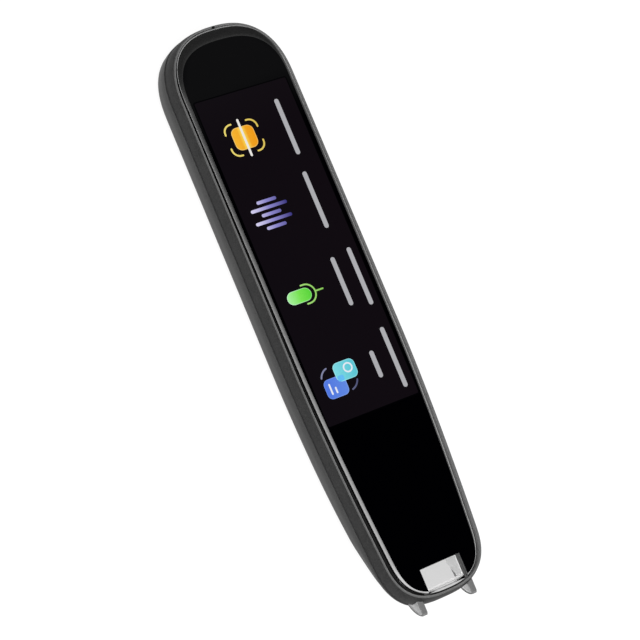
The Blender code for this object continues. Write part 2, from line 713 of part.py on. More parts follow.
def make_display(panel_surface, flex_surface, connector_surface):
    """Display panel, its folded flex and the connector on the board."""
    top_y = LENS_TOP_Y - DISPLAY_FROM_TOP + BEVEL_TOP_WIDTH
    tip_y = BOARD_TIP_Y + DISPLAY_FROM_BOARD_TIP
    span(
        "display_panel", (-DISPLAY_HALF_WIDTH, tip_y, DISPLAY_BOTTOM_Z),
        (DISPLAY_HALF_WIDTH, top_y, DISPLAY_TOP_Z), panel_surface,
    )
    start_y = tip_y - CLEARANCE
    bend_y = start_y - FLEX_REACH
    path = [(start_y, FLEX_HIGH_Z)]
    for step in range(FLEX_STEPS + 1):
        angle = math.radians(180 * step / FLEX_STEPS)
        drop = FLEX_RADIUS * (1 - math.cos(angle))
        path.append((bend_y - FLEX_RADIUS * math.sin(angle), FLEX_HIGH_Z - drop))
    path.append((bend_y + FLEX_TAIL, FLEX_LOW_Z))
    inner = []
    outer = []
    half = FLEX_THICKNESS / 2
    for i, (y, z) in enumerate(path):
        before = path[max(i - 1, 0)]
        after = path[min(i + 1, len(path) - 1)]
        along = Vector((after[0] - before[0], after[1] - before[1])).normalized()
        inner.append((y - along.y * half, z + along.x * half))
        outer.append((y + along.y * half, z - along.x * half))
    prism(
        "display_flex", inner + outer[::-1], -FLEX_HALF_WIDTH, FLEX_HALF_WIDTH, "yz", flex_surface
    )
    size = FLEX_CONNECTOR_SIZE
    block(
        "flex_connector", size,
        (0, bend_y + FLEX_TAIL - size[1] / 2, BOARD_TOP_Z + CLEARANCE + size[2] / 2),
        connector_surface,
    )
    return bend_y


def screw_places():
    """Where the four board screws stand."""
    x = BOARD_HALF_WIDTH - SCREW_FROM_SIDE
    rows = (BOARD_TIP_Y + SCREW_FROM_TIP, BOARD_TOP_Y - SCREW_FROM_TOP)
    return [(side * x, y) for y in rows for side in (-1, 1)]


def make_chassis(surface, bend_y):
    """Plate under the display with bosses, spring seats and the flex slot."""
    full = plate("chassis", plan(-CHASSIS_INSET), CHASSIS_BOTTOM_Z, CHASSIS_TOP_Z, surface)
    for name, low_y, high_y in (
        ("chassis_tip_cut", FOOT_END_Y - OVERRUN, SEAT_Y + SEAT_THICKNESS / 2),
        ("chassis_top_cut", LIP_TOP_Y - CHASSIS_FROM_TOP, TOP_Y + OVERRUN),
    ):
        boolean(full, span(
            name, (-2 * LIP_HALF_WIDTH, low_y, BOARD_Z), (2 * LIP_HALF_WIDTH, high_y, LIP_Z)
        ))
    slot_half = FLEX_HALF_WIDTH + FLEX_SLOT_MARGIN
    boolean(full, span(
        "flex_slot", (-slot_half, bend_y - FLEX_SLOT_LENGTH / 2 - FLEX_RADIUS / 2, BOARD_TOP_Z),
        (slot_half, bend_y + FLEX_SLOT_LENGTH / 2, LIP_Z),
    ))
    reach = BUTTON_FLANGE_LENGTH / 2 + 2 * BUTTON_SIDE_GAP
    boolean(full, span(
        "button_notch",
        (BOARD_HALF_WIDTH - 2 * SWITCH_SIZE[0], BUTTON_Y - reach, BOARD_TOP_Z),
        (2 * LIP_HALF_WIDTH, BUTTON_Y + reach, LIP_Z),
    ))
    boolean(full, span(
        "trigger_notch", (-TRIGGER_WIDTH / 2 - CLEARANCE, FOOT_END_Y, BOARD_Z),
        (TRIGGER_WIDTH / 2 + CLEARANCE, TRIGGER_REAR_Y + CLEARANCE, LIP_Z),
    ))
    boss_low = BOARD_TOP_Z + CLEARANCE
    for number, (x, y) in enumerate(screw_places(), 1):
        height = CHASSIS_TOP_Z - boss_low
        boolean(full, rod(
            f"boss_{number}", BOSS_RADIUS, height, (x, y, boss_low + height / 2), (0, 0, 1)
        ), "UNION")
        depth = SCREW_BITE + CLEARANCE
        boolean(full, rod(
            f"boss_bore_{number}", SCREW_RADIUS + CLEARANCE, 2 * depth, (x, y, boss_low),
            (0, 0, 1), sides=10,
        ))
    for side in (-1, 1):
        label = "left" if side < 0 else "right"
        boolean(full, span(
            f"spring_seat_{label}",
            (side * FIN_X - SEAT_WIDTH / 2, SEAT_Y, PIN_Z - SEAT_WIDTH / 2),
            (side * FIN_X + SEAT_WIDTH / 2, SEAT_Y + SEAT_THICKNESS, CHASSIS_TOP_Z),
        ), "UNION")
        boolean(full, rod(
            f"seat_bore_{label}", PIN_RADIUS + BORE_MARGIN, 4 * SEAT_THICKNESS,
            (side * FIN_X, SEAT_Y, PIN_Z), (0, 1, 0), sides=12,
        ))
    return full


def make_main_board(surface):
    """Circuit board with round top corners and four screw holes."""
    board = plate(
        "main_board", plan(BOARD_HALF_WIDTH - LIP_HALF_WIDTH, BOARD_TOP_Y - LIP_TOP_Y),
        BOARD_Z, BOARD_TOP_Z, surface,
    )
    boolean(board, span(
        "board_tip_cut", (-2 * LIP_HALF_WIDTH, FOOT_END_Y - OVERRUN, -OVERRUN),
        (2 * LIP_HALF_WIDTH, BOARD_TIP_Y, LIP_Z),
    ))
    for number, (x, y) in enumerate(screw_places(), 1):
        boolean(board, rod(
            f"board_hole_{number}", SCREW_RADIUS + CLEARANCE, 4 * BOARD_THICKNESS,
            (x, y, BOARD_Z), (0, 0, 1), sides=10,
        ))
    return board


def make_screws(surface):
    """Four pan-head screws from below the board up into the bosses."""
    for number, (x, y) in enumerate(screw_places(), 1):
        top = BOARD_TOP_Z + SCREW_BITE
        under = BOARD_Z - CLEARANCE
        head_top = SCREW_HEAD_TOP_SHARE * SCREW_HEAD_RADIUS
        shape = bmesh.new()
        profile = (
            (0.0, top), (SCREW_RADIUS, top), (SCREW_RADIUS, under),
            (SCREW_HEAD_RADIUS, under), (SCREW_HEAD_RADIUS, under - SCREW_HEAD_HEIGHT / 2),
            (head_top, under - SCREW_HEAD_HEIGHT), (0.0, under - SCREW_HEAD_HEIGHT),
        )
        points = [shape.verts.new((r, 0, z)) for r, z in profile]
        edges = [shape.edges.new(pair) for pair in zip(points, points[1:])]
        bmesh.ops.spin(
            shape, geom=points + edges, axis=(0, 0, 1), cent=(0, 0, 0), steps=12,
            angle=math.radians(360),
        )
        bmesh.ops.remove_doubles(shape, verts=shape.verts, dist=SCREW_RADIUS / 50)
        made = add_object(f"board_screw_{number}", shape, surface, smooth_angle=35)
        made.location = (x, y, 0)


def make_board_parts(chip, memory, can, microphone, antenna):
    """Chips, shield can, microphones and the antenna strip."""
    seat = BOARD_TOP_Z + CLEARANCE
    processor_y = (BOARD_TIP_Y + BOARD_TOP_Y) / 2 - PROCESSOR_FROM_MIDDLE
    memory_y = processor_y - PROCESSOR_SIZE[1] / 2 - CHIP_GAP - MEMORY_SIZE[1] / 2
    for name, size, y, surface in (
        ("processor", PROCESSOR_SIZE, processor_y, chip),
        ("memory_chip", MEMORY_SIZE, memory_y, memory),
    ):
        block(name, size, (0, y, seat + size[2] / 2), surface)
    size = SHIELD_SIZE
    shield_y = BOARD_TOP_Y - SHIELD_FROM_TOP
    shield = block("wireless_shield", size, (0, shield_y, seat + size[2] / 2), can)
    hollow = [length - 2 * SHIELD_WALL for length in size]
    boolean(shield, block(
        "shield_hollow", hollow, (0, shield_y, seat + hollow[2] / 2 - SHIELD_WALL / 2)
    ))
    for name, y in (
        ("microphone_top", BOARD_TOP_Y - MIC_INSET),
        ("microphone_tip", BOARD_TIP_Y + MIC_INSET),
    ):
        block(name, MIC_SIZE, (0, y, seat + MIC_SIZE[2] / 2), microphone)
    first = SIDE_STEPS + TIP_STEPS + 3
    outer = plan(-ANTENNA_INSET)
    inner = plan(-ANTENNA_INSET - ANTENNA_THICKNESS)
    last = len(outer) - first
    strip = outer[first:last + 1] + inner[first:last + 1][::-1]
    low = COVER_TOP_Z + TONGUE_HEIGHT + CLEARANCE
    prism("antenna", strip, low, low + ANTENNA_HEIGHT, "xy", antenna)


def make_battery(pouch, connector):
    """Pouch cell on the cover's floor and its connector on the board."""
    low = FLOOR_Z + CLEARANCE
    span(
        "battery", (-BATTERY_WIDTH / 2, BATTERY_TIP_Y, low),
        (BATTERY_WIDTH / 2, BATTERY_TOP_Y, low + BATTERY_THICKNESS), pouch, BATTERY_EDGE,
    )
    small = CONNECTOR_SIZE
    y = BATTERY_TOP_Y + CONNECTOR_GAP + small[1] / 2
    block("battery_connector", small, (0, y, BOARD_Z - CLEARANCE - small[2] / 2), connector)


def make_speaker(body, foam, mesh):
    """Speaker box over the grille, with its mesh and foam ring."""
    width = SPEAKER_WIDTH
    length = SPEAKER_LENGTH
    mesh_low = FLOOR_Z + CLEARANCE
    block(
        "speaker_mesh", (width, length, SPEAKER_MESH_THICKNESS),
        (0, SPEAKER_Y, mesh_low + SPEAKER_MESH_THICKNESS / 2), mesh,
    )
    foam_low = mesh_low + SPEAKER_MESH_THICKNESS + CLEARANCE
    ring = block(
        "speaker_gasket", (width, length, SPEAKER_GASKET_THICKNESS),
        (0, SPEAKER_Y, foam_low + SPEAKER_GASKET_THICKNESS / 2), foam,
    )
    boolean(ring, block(
        "speaker_gasket_hole",
        (width - 2 * SPEAKER_GASKET_WIDTH, length - 2 * SPEAKER_GASKET_WIDTH, BOARD_Z),
        (0, SPEAKER_Y, foam_low),
    ))
    low = foam_low + SPEAKER_GASKET_THICKNESS + CLEARANCE
    height = BOARD_Z - SPEAKER_HEADROOM - low
    block("speaker", (width, length, height), (0, SPEAKER_Y, low + height / 2), body)


def make_usb_socket(metal, plastic):
    """Socket shell in the top end and its contact tongue."""
    width, length, height = USB_SIZE
    rear = SOCKET_REAR_Y
    front = rear + length
    outline = rounded_rectangle(width, height, USB_CORNER)
    shell = prism("usb_shell", [(x, USB_Z + dz) for x, dz in outline], rear, front, "xz", metal)
    hollow = rounded_rectangle(width - 2 * USB_WALL, height - 2 * USB_WALL, USB_CORNER - USB_WALL)
    boolean(shell, prism(
        "usb_hollow", [(x, USB_Z + dz) for x, dz in hollow], rear + USB_WALL, front + OVERRUN, "xz"
    ))
    size = USB_TONGUE_SIZE
    block(
        "usb_tongue", size, (0, rear + USB_WALL + CLEARANCE + size[1] / 2, USB_Z), plastic
    )


def make_power_button(cap_surface, switch_surface, plunger_surface):
    """Side button with a captive flange, its switch and the switch's plunger."""
    wall_x = LIP_HALF_WIDTH + SHELL_MID_SHARE * SHELL_FLARE
    inner_x = LIP_HALF_WIDTH + SHELL_FLARE - SHELL_WALL - SHELL_EDGE_WIDTH - CLEARANCE
    flange_x = inner_x - BUTTON_FLANGE_THICKNESS
    outline = rounded_rectangle(BUTTON_LENGTH, BUTTON_HEIGHT, BUTTON_CORNER_SHARE * BUTTON_HEIGHT)
    button = prism(
        "power_button", [(BUTTON_Y + dy, BUTTON_Z + dz) for dy, dz in outline],
        inner_x - BUTTON_FLANGE_THICKNESS / 2, wall_x + BUTTON_PROUD, "yz", cap_surface,
    )
    boolean(button, block(
        "button_flange", (BUTTON_FLANGE_THICKNESS, BUTTON_FLANGE_LENGTH, BUTTON_FLANGE_HEIGHT),
        (flange_x + BUTTON_FLANGE_THICKNESS / 2, BUTTON_Y, BUTTON_Z),
    ), "UNION")
    boolean(button, rod(
        "button_nub", PLUNGER_RADIUS, 2 * BUTTON_NUB, (flange_x, BUTTON_Y, BUTTON_Z),
        (1, 0, 0), sides=12,
    ), "UNION")
    plunger_x = flange_x - BUTTON_NUB - CLEARANCE
    rod(
        "button_plunger", PLUNGER_RADIUS, PLUNGER_LENGTH,
        (plunger_x - PLUNGER_LENGTH / 2, BUTTON_Y, BUTTON_Z), (1, 0, 0), plunger_surface, 12,
    )
    front_x = plunger_x - BUTTON_TRAVEL - CLEARANCE / 2
    size = SWITCH_SIZE
    low = BOARD_TOP_Z + CLEARANCE
    switch = block(
        "button_switch", size, (front_x - size[0] / 2, BUTTON_Y, low + size[2] / 2), switch_surface
    )
    depth = plunger_x - PLUNGER_LENGTH - BUTTON_TRAVEL - CLEARANCE
    boolean(switch, rod(
        "button_switch_bore", PLUNGER_RADIUS + CLEARANCE, 2 * (front_x - depth),
        (front_x, BUTTON_Y, BUTTON_Z), (1, 0, 0), sides=12,
    ))


def fin_outline():
    """Side view of a fin: straight top edge and a round runner below."""
    centre_y = FOOT_END_Y + FIN_RUN
    bottom_z = FIN_TOP_Z - FIN_DEPTH
    shoulder_z = FIN_TOP_Z - FIN_SHOULDER_DEPTH
    points = [(FOOT_END_Y + FIN_EDGE, FIN_TOP_Z)]
    for step in range(FIN_STEPS + 1):
        angle = math.radians(90 * step / FIN_STEPS)
        points.append((
            centre_y - FIN_RUN * math.cos(angle),
            FIN_TOP_Z - FIN_EDGE - (FIN_DEPTH - FIN_EDGE) * math.sin(angle),
        ))
    return points + [
        (FIN_HEEL_Y, bottom_z),
        (FIN_HEEL_Y, shoulder_z),
        (BRIDGE_REAR_Y, shoulder_z),
        (BRIDGE_REAR_Y, FIN_TOP_Z),
    ]


def make_scan_foot(surface):
    """Clear sliding foot: two fins, the bridge between them and two guide pins."""
    half = FIN_THICKNESS / 2
    foot = prism(
        "scan_foot", fin_outline(), -FIN_X - half, -FIN_X + half, "yz", surface, smooth_angle=35
    )
    boolean(foot, span(
        "foot_bridge", (-FIN_X, BRIDGE_Y, BRIDGE_BOTTOM_Z), (FIN_X, BRIDGE_REAR_Y, FIN_TOP_Z)
    ), "UNION")
    boolean(foot, prism(
        "foot_fin_right", fin_outline(), FIN_X - half, FIN_X + half, "yz"
    ), "UNION")
    for side in (-1, 1):
        label = "left" if side < 0 else "right"
        length = PIN_LENGTH + BRIDGE_LENGTH / 2
        boolean(foot, rod(
            f"foot_pin_{label}", PIN_RADIUS, length,
            (side * FIN_X, PIN_END_Y - length / 2, PIN_Z), (0, 1, 0), sides=12,
        ), "UNION")
    return foot


def make_foot_springs(surface):
    """Two coil springs round the guide pins, each one unbroken curled wire."""
    low_y = BRIDGE_REAR_Y + CLEARANCE + SPRING_WIRE_RADIUS
    high_y = SEAT_Y - CLEARANCE - SPRING_WIRE_RADIUS
    for side in (-1, 1):
        label = "left" if side < 0 else "right"
        points = []
        count = SPRING_TURNS * SPRING_STEPS
        for step in range(count + 1):
            angle = math.radians(360 * step / SPRING_STEPS)
            points.append(Vector((
                side * FIN_X + SPRING_RADIUS * math.cos(angle),
                low_y + (high_y - low_y) * step / count,
                PIN_Z + SPRING_RADIUS * math.sin(angle),
            )))
        curve = bpy.data.curves.new(f"foot_spring_{label}", "CURVE")
        curve.dimensions = "3D"
        curve.bevel_depth = SPRING_WIRE_RADIUS
        curve.bevel_resolution = 1
        curve.use_fill_caps = True
        line = curve.splines.new("POLY")
        line.points.add(len(points) - 1)
        for target, point in zip(line.points, points):
            target.co = (*point, 1.0)
        curve.materials.append(surface)
        made = bpy.data.objects.new(f"foot_spring_{label}", curve)
        bpy.context.scene.collection.objects.link(made)
        gap = min(
            (points[i] - points[j]).length - 2 * SPRING_WIRE_RADIUS
            for i in range(len(points))
            for j in range(i + SPRING_STEPS // 2, len(points))
        )
        print(f"least gap of foot_spring_{label} to itself: {gap:.5f} m")


def make_trigger(switch_surface, plunger_surface):
    """Trigger switch behind the bridge, with the plunger that the foot pushes."""
    front_y = BRIDGE_REAR_Y + CLEARANCE
    rod(
        "trigger_plunger", PLUNGER_RADIUS, TRIGGER_PLUNGER_LENGTH,
        (0, front_y + TRIGGER_PLUNGER_LENGTH / 2, TRIGGER_Z), (0, 1, 0), plunger_surface, 12,
    )
    switch = span(
        "trigger_switch",
        (-TRIGGER_WIDTH / 2, TRIGGER_FACE_Y, TRIGGER_Z - TRIGGER_HEIGHT / 2),
        (TRIGGER_WIDTH / 2, TRIGGER_REAR_Y, TRIGGER_Z + TRIGGER_HEIGHT / 2), switch_surface,
    )
    boolean(switch, rod(
        "trigger_bore", PLUNGER_RADIUS + CLEARANCE / 2, 2 * (TRIGGER_BORE_Y - TRIGGER_FACE_Y),
        (0, TRIGGER_FACE_Y, TRIGGER_Z), (0, 1, 0), sides=12,
    ))


def make_scan_frame(surface):
    """Clear head: a pane in the window, a plate under the glass and two side walls."""
    low = FIN_TOP_Z + CLEARANCE
    frame = plate("scan_frame", ledge_plan(CLEARANCE), low, low + FRAME_PLATE, surface)
    boolean(frame, span(
        "frame_rear_cut", (-2 * LIP_HALF_WIDTH, FRAME_REAR_Y, -OVERRUN),
        (2 * LIP_HALF_WIDTH, TOP_Y + OVERRUN, GLASS_TOP_Z + OVERRUN),
    ))
    boolean(frame, span(
        "frame_pane",
        (-WINDOW_WIDTH / 2 + CLEARANCE, WINDOW_Y - WINDOW_LENGTH / 2 + CLEARANCE, low),
        (WINDOW_WIDTH / 2 - CLEARANCE, WINDOW_Y + WINDOW_LENGTH / 2 - CLEARANCE, GLASS_TOP_Z),
    ), "UNION")
    front = LIP_TIP_Y + FRAME_FRONT_GAP
    bottom = FIN_TOP_Z - FRAME_DEPTH
    wall_top = low + FRAME_PLATE / 2
    outline = [
        (front, wall_top),
        (front, bottom + FRAME_CHAMFER),
        (front + FRAME_CHAMFER, bottom),
        (FRAME_REAR_Y, bottom),
        (FRAME_REAR_Y, wall_top),
    ]
    outer_x = FIN_X - FIN_THICKNESS / 2 - CLEARANCE
    for side in (-1, 1):
        label = "left" if side < 0 else "right"
        edges = sorted((side * outer_x, side * (outer_x - FRAME_WALL)))
        boolean(frame, prism(
            f"frame_wall_{label}", outline, edges[0], edges[1], "yz"
        ), "UNION")
    return frame


def make_scanner(tunnel, board, lamp, barrel, glass, housing, sensor):
    """Light tunnel, lamps on their board, and the camera that looks along the pen."""
    shape = bmesh.new()
    rings = []
    for wall in (0.0, TUNNEL_WALL):
        for y, z, size in (
            (TUNNEL_FRONT_Y, OPTIC_Z + TUNNEL_RISE, TUNNEL_FRONT_SIZE),
            (TUNNEL_REAR_Y, OPTIC_Z, TUNNEL_REAR_SIZE),
        ):
            half_x = size[0] / 2 - wall
            half_z = size[1] / 2 - wall
            rings.append([
                shape.verts.new((sx * half_x, y, z + sz * half_z))
                for sx, sz in ((1, 1), (-1, 1), (-1, -1), (1, -1))
            ])
    order = (rings[0], rings[1], rings[3], rings[2])
    for lower, upper in zip(order, order[1:] + order[:1]):
        for i in range(4):
            j = (i + 1) % 4
            shape.faces.new((lower[i], lower[j], upper[j], upper[i]))
    add_object("light_tunnel", shape, tunnel)

    board_y = LIGHT_BOARD_Y
    face = span(
        "light_board",
        (-LIGHT_BOARD_HALF_WIDTH, board_y, OPTIC_Z - LIGHT_BOARD_DROP),
        (LIGHT_BOARD_HALF_WIDTH, board_y + LIGHT_BOARD_THICKNESS, CHASSIS_BOTTOM_Z - CLEARANCE),
        board,
    )
    boolean(face, rod(
        "light_board_hole", BARREL_RADIUS + BORE_MARGIN, 4 * LIGHT_BOARD_THICKNESS,
        (0, board_y, OPTIC_Z), (0, 1, 0), sides=20,
    ))
    for side in (-1, 1):
        name = "scan_lamp_left" if side < 0 else "scan_lamp_right"
        lamp_x = LIGHT_BOARD_HALF_WIDTH - LAMP_INSET
        block(
            name, LAMP_SIZE, (side * lamp_x, board_y - CLEARANCE - LAMP_SIZE[1] / 2, OPTIC_Z), lamp
        )
    tube = rod(
        "camera_barrel", BARREL_RADIUS, BARREL_LENGTH,
        (0, board_y + BARREL_LENGTH / 2, OPTIC_Z), (0, 1, 0), barrel, 20,
    )
    recess_radius = BARREL_RADIUS - BARREL_RIM
    boolean(tube, rod(
        "barrel_recess", recess_radius, 2 * BARREL_RECESS, (0, board_y, OPTIC_Z), (0, 1, 0), sides=20
    ))
    glass_thickness = BARREL_RECESS - CLEARANCE - BARREL_RIM / 2
    rod(
        "camera_lens", recess_radius - CLEARANCE, glass_thickness,
        (0, board_y + BARREL_RECESS - CLEARANCE - glass_thickness / 2, OPTIC_Z), (0, 1, 0), glass, 20,
    )
    size = CAMERA_SIZE
    block("camera_housing", size, (0, HOUSING_Y + size[1] / 2, OPTIC_Z), housing)
    plate_size = SENSOR_SIZE
    block("sensor_board", plate_size, (0, SENSOR_Y + plate_size[1] / 2, OPTIC_Z), sensor)


def main():
    clear_scene()
    case = material("dark_grey_plastic", (0.055, 0.055, 0.058), 0.55)
    rim = material("grey_shell_plastic", (0.050, 0.050, 0.053), 0.5)
    glass = material("black_cover_glass", (0.004, 0.004, 0.005), 0.05)
    clear = material("clear_plastic", (0.75, 0.77, 0.78), 0.08, transmission=0.85)
    frame_clear = material("clear_head_plastic", (0.80, 0.82, 0.83), 0.06, transmission=0.85)
    foam = material("black_foam", (0.02, 0.02, 0.02), 0.9)
    panel = material("display_panel_film", (0.010, 0.009, 0.011), 0.2)
    amber = material("amber_flex", (0.45, 0.22, 0.05), 0.4)
    green = material("green_circuit_board", (0.02, 0.12, 0.05), 0.45)
    chip = material("black_epoxy", (0.02, 0.02, 0.022), 0.5)
    steel = material("plated_steel", (0.62, 0.62, 0.64), 0.3, 1.0)
    alloy = material("chassis_alloy", (0.45, 0.46, 0.48), 0.45, 1.0)
    pouch = material("battery_pouch", (0.50, 0.51, 0.53), 0.35, 0.6)
    black = material("black_plastic", (0.02, 0.02, 0.02), 0.6)
    white = material("white_plastic", (0.75, 0.75, 0.72), 0.5)
    lamp = material("lamp_resin", (0.85, 0.82, 0.55), 0.3)
    optic = material("optical_glass", (0.20, 0.24, 0.30), 0.02, transmission=0.9)

    make_back_cover(case)
    make_front_shell(rim)
    make_cover_lens(glass)
    make_lens_gasket(foam)
    bend_y = make_display(panel, amber, white)
    make_chassis(alloy, bend_y)
    make_main_board(green)
    make_screws(steel)
    make_board_parts(chip, chip, steel, steel, amber)
    make_battery(pouch, white)
    make_speaker(black, foam, steel)
    make_usb_socket(steel, black)
    make_power_button(case, black, white)
    make_scan_foot(clear)
    make_foot_springs(steel)
    make_trigger(black, white)
    make_scan_frame(frame_clear)
    make_scanner(black, green, lamp, black, optic, black, green)


main()
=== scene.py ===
"""Scanning pen on its back on a white table, seen from above its left side.

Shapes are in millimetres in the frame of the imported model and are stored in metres;
the camera, the lamp and the table are in metres.
"""

import bmesh
import bpy
import numpy as np
from mathutils import Matrix


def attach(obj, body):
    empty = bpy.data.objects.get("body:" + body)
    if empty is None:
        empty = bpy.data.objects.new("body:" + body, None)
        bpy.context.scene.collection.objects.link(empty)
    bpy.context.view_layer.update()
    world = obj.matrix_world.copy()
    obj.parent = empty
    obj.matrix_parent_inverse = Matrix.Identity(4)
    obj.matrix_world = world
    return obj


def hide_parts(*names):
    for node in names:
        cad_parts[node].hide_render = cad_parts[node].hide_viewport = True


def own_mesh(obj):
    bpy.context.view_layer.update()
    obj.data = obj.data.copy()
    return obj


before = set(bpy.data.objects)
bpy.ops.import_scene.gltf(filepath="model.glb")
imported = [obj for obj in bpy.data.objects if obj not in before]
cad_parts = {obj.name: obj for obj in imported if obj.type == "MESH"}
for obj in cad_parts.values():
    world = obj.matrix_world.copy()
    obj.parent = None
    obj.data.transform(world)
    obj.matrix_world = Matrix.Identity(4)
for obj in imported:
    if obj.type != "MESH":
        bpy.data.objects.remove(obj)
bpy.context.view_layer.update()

# Camera: a long lens 44 cm off the glass, on the pen's left and 65 degrees above the
# table, rolled so that the pen lies aslant across the square picture.
VIEW_FROM_SIDE = np.radians(24.0)
VIEW_FROM_END = np.radians(6.3)
VIEW_ROLL = np.radians(22.73)
AIM = np.array((-0.00397, -0.00205, 0.0149))
STAND_OFF = 0.4358

across = np.array((np.cos(VIEW_FROM_SIDE), 0.0, np.sin(VIEW_FROM_SIDE)))
along = np.array((
    -np.sin(VIEW_FROM_SIDE) * np.sin(VIEW_FROM_END),
    np.cos(VIEW_FROM_END),
    np.cos(VIEW_FROM_SIDE) * np.sin(VIEW_FROM_END),
))
toward = np.cross(across, along)
picture_right = np.cos(VIEW_ROLL) * across - np.sin(VIEW_ROLL) * along
picture_up = np.sin(VIEW_ROLL) * across + np.cos(VIEW_ROLL) * along


def linked(name, data):
    """A new object in the scene."""
    made = bpy.data.objects.new(name, data)
    bpy.context.scene.collection.objects.link(made)
    return made


camera_data = bpy.data.cameras.new("camera")
camera_data.sensor_width = 36.0
camera_data.lens = 101.25
camera_data.clip_start = 0.01
camera = linked("camera", camera_data)
camera.matrix_world = Matrix.Translation(AIM + STAND_OFF * toward) @ Matrix(
    np.column_stack((picture_right, picture_up, toward)).tolist()
).to_4x4()
bpy.context.scene.camera = camera
bpy.context.scene.view_settings.view_transform = "Standard"


# Studio: a white table and backdrop under a dark ceiling, a wide soft light at the
# front left that the bevels show, a narrow glow past the wide end that the top of the
# glass shows, and a key lamp overhead on the left.
def fill(node, inputs):
    """Give inputs of a node their values, or the sockets or nodes that feed them."""
    for name, value in inputs.items():
        if isinstance(value, bpy.types.Node):
            value = value.outputs[0]
        if isinstance(value, bpy.types.NodeSocket):
            node.id_data.links.new(value, node.inputs[name])
        else:
            node.inputs[name].default_value = value


def add(tree, kind, inputs=None, **settings):
    """Add one shader node with its settings and its inputs."""
    made = tree.nodes.new(f"ShaderNode{kind}")
    for name, value in settings.items():
        setattr(made, name, value)
    fill(made, inputs or {})
    return made


world = bpy.data.worlds.new("studio")
world.use_nodes = True
sky = world.node_tree
sky.nodes.clear()
heading = add(sky, "TexCoord").outputs["Generated"]
height = add(sky, "SeparateXYZ", {0: heading}).outputs["Z"]
backdrop = add(sky, "MapRange", {
    "Value": height, "From Min": 0.02, "From Max": 0.62, "To Min": 0.205, "To Max": 0.006,
}, interpolation_type="SMOOTHSTEP")
front_left = add(sky, "VectorMath", {0: heading, 1: (-0.45, -0.90, 0.0)}, operation="DOT_PRODUCT")
softbox = add(sky, "MapRange", {
    "Value": front_left.outputs["Value"], "From Min": -0.02, "From Max": 0.55,
    "To Max": 1.35,
})
far_end = add(sky, "VectorMath", {0: heading, 1: (0.0, 1.0, 0.0)}, operation="DOT_PRODUCT")
far_rise = add(sky, "MapRange", {
    "Value": far_end.outputs["Value"], "From Min": 0.215, "From Max": 0.245, "To Max": 0.13,
})
far_fall = add(sky, "MapRange", {
    "Value": far_end.outputs["Value"], "From Min": 0.27, "From Max": 0.35,
    "To Min": 1.0, "To Max": 0.25,
})
far_glow = add(sky, "Math", {0: far_rise, 1: far_fall}, operation="MULTIPLY")
studio_light = add(sky, "Math", {0: backdrop, 1: softbox}, operation="MAXIMUM")
studio_light = add(sky, "Math", {0: studio_light, 1: far_glow}, operation="MAXIMUM")
rays = add(sky, "LightPath")
seen = add(sky, "Math", {
    0: rays.outputs["Is Camera Ray"], 1: rays.outputs["Is Transmission Ray"],
}, operation="MAXIMUM")
strength = add(sky, "Mix", {"Factor": seen, "A": studio_light, "B": 1.0})
glow = add(sky, "Background", {"Color": (1, 1, 1, 1), "Strength": strength})
add(sky, "OutputWorld", {"Surface": glow})
bpy.context.scene.world = world

key_data = bpy.data.lights.new("key_lamp", "AREA")
key_data.shape = "RECTANGLE"
key_data.size = 0.50
key_data.size_y = 0.70
key_data.energy = 6.8
key = linked("key_lamp", key_data)
KEY_DISTANCE = 0.9
key_place = KEY_DISTANCE * np.array((-0.24, -0.10, 0.96))
key_axis = key_place / np.linalg.norm(key_place)
key_side = np.cross((0.0, 1.0, 0.0), key_axis)
key_side /= np.linalg.norm(key_side)
key.matrix_world = Matrix.Translation(key_place) @ Matrix(
    np.column_stack((key_side, np.cross(key_axis, key_side), key_axis)).tolist()
).to_4x4()
key.visible_camera = key.visible_glossy = key.visible_transmission = False

# Table: the white paper keeps the pen's shadow. To the camera, in reflections and through
# clear pieces it is mostly lit from within, so that it runs on into the white backdrop.
TABLE_HALF, TABLE_DROP, PAPER_GLOW_SHARE = 2.0, 0.0001, 0.78
table_mesh = bpy.data.meshes.new("table")
table_mesh.from_pydata([
    (x * TABLE_HALF, y * TABLE_HALF, -TABLE_DROP)
    for x, y in ((-1, -1), (1, -1), (1, 1), (-1, 1))
], [], [(0, 1, 2, 3)])
table = linked("table", table_mesh)
paper = bpy.data.materials.new("white_table_paper")
paper.use_nodes = True
tree = paper.node_tree
tree.nodes.clear()
rays = add(tree, "LightPath")
seen = add(tree, "Math", {
    0: rays.outputs["Is Camera Ray"], 1: rays.outputs["Is Transmission Ray"],
}, operation="MAXIMUM")
seen = add(tree, "Math", {0: seen, 1: rays.outputs["Is Glossy Ray"]}, operation="MAXIMUM")
share = add(tree, "Math", {0: seen, 1: PAPER_GLOW_SHARE}, operation="MULTIPLY")
sheet_shader = add(tree, "BsdfDiffuse", {"Color": (0.88, 0.88, 0.88, 1)})
lit = add(tree, "Emission", {"Color": (1, 1, 1, 1), "Strength": 1.10})
mixed = add(tree, "MixShader", {0: share, 1: sheet_shader, 2: lit})
add(tree, "OutputMaterial", {"Surface": mixed})
table_mesh.materials.append(paper)


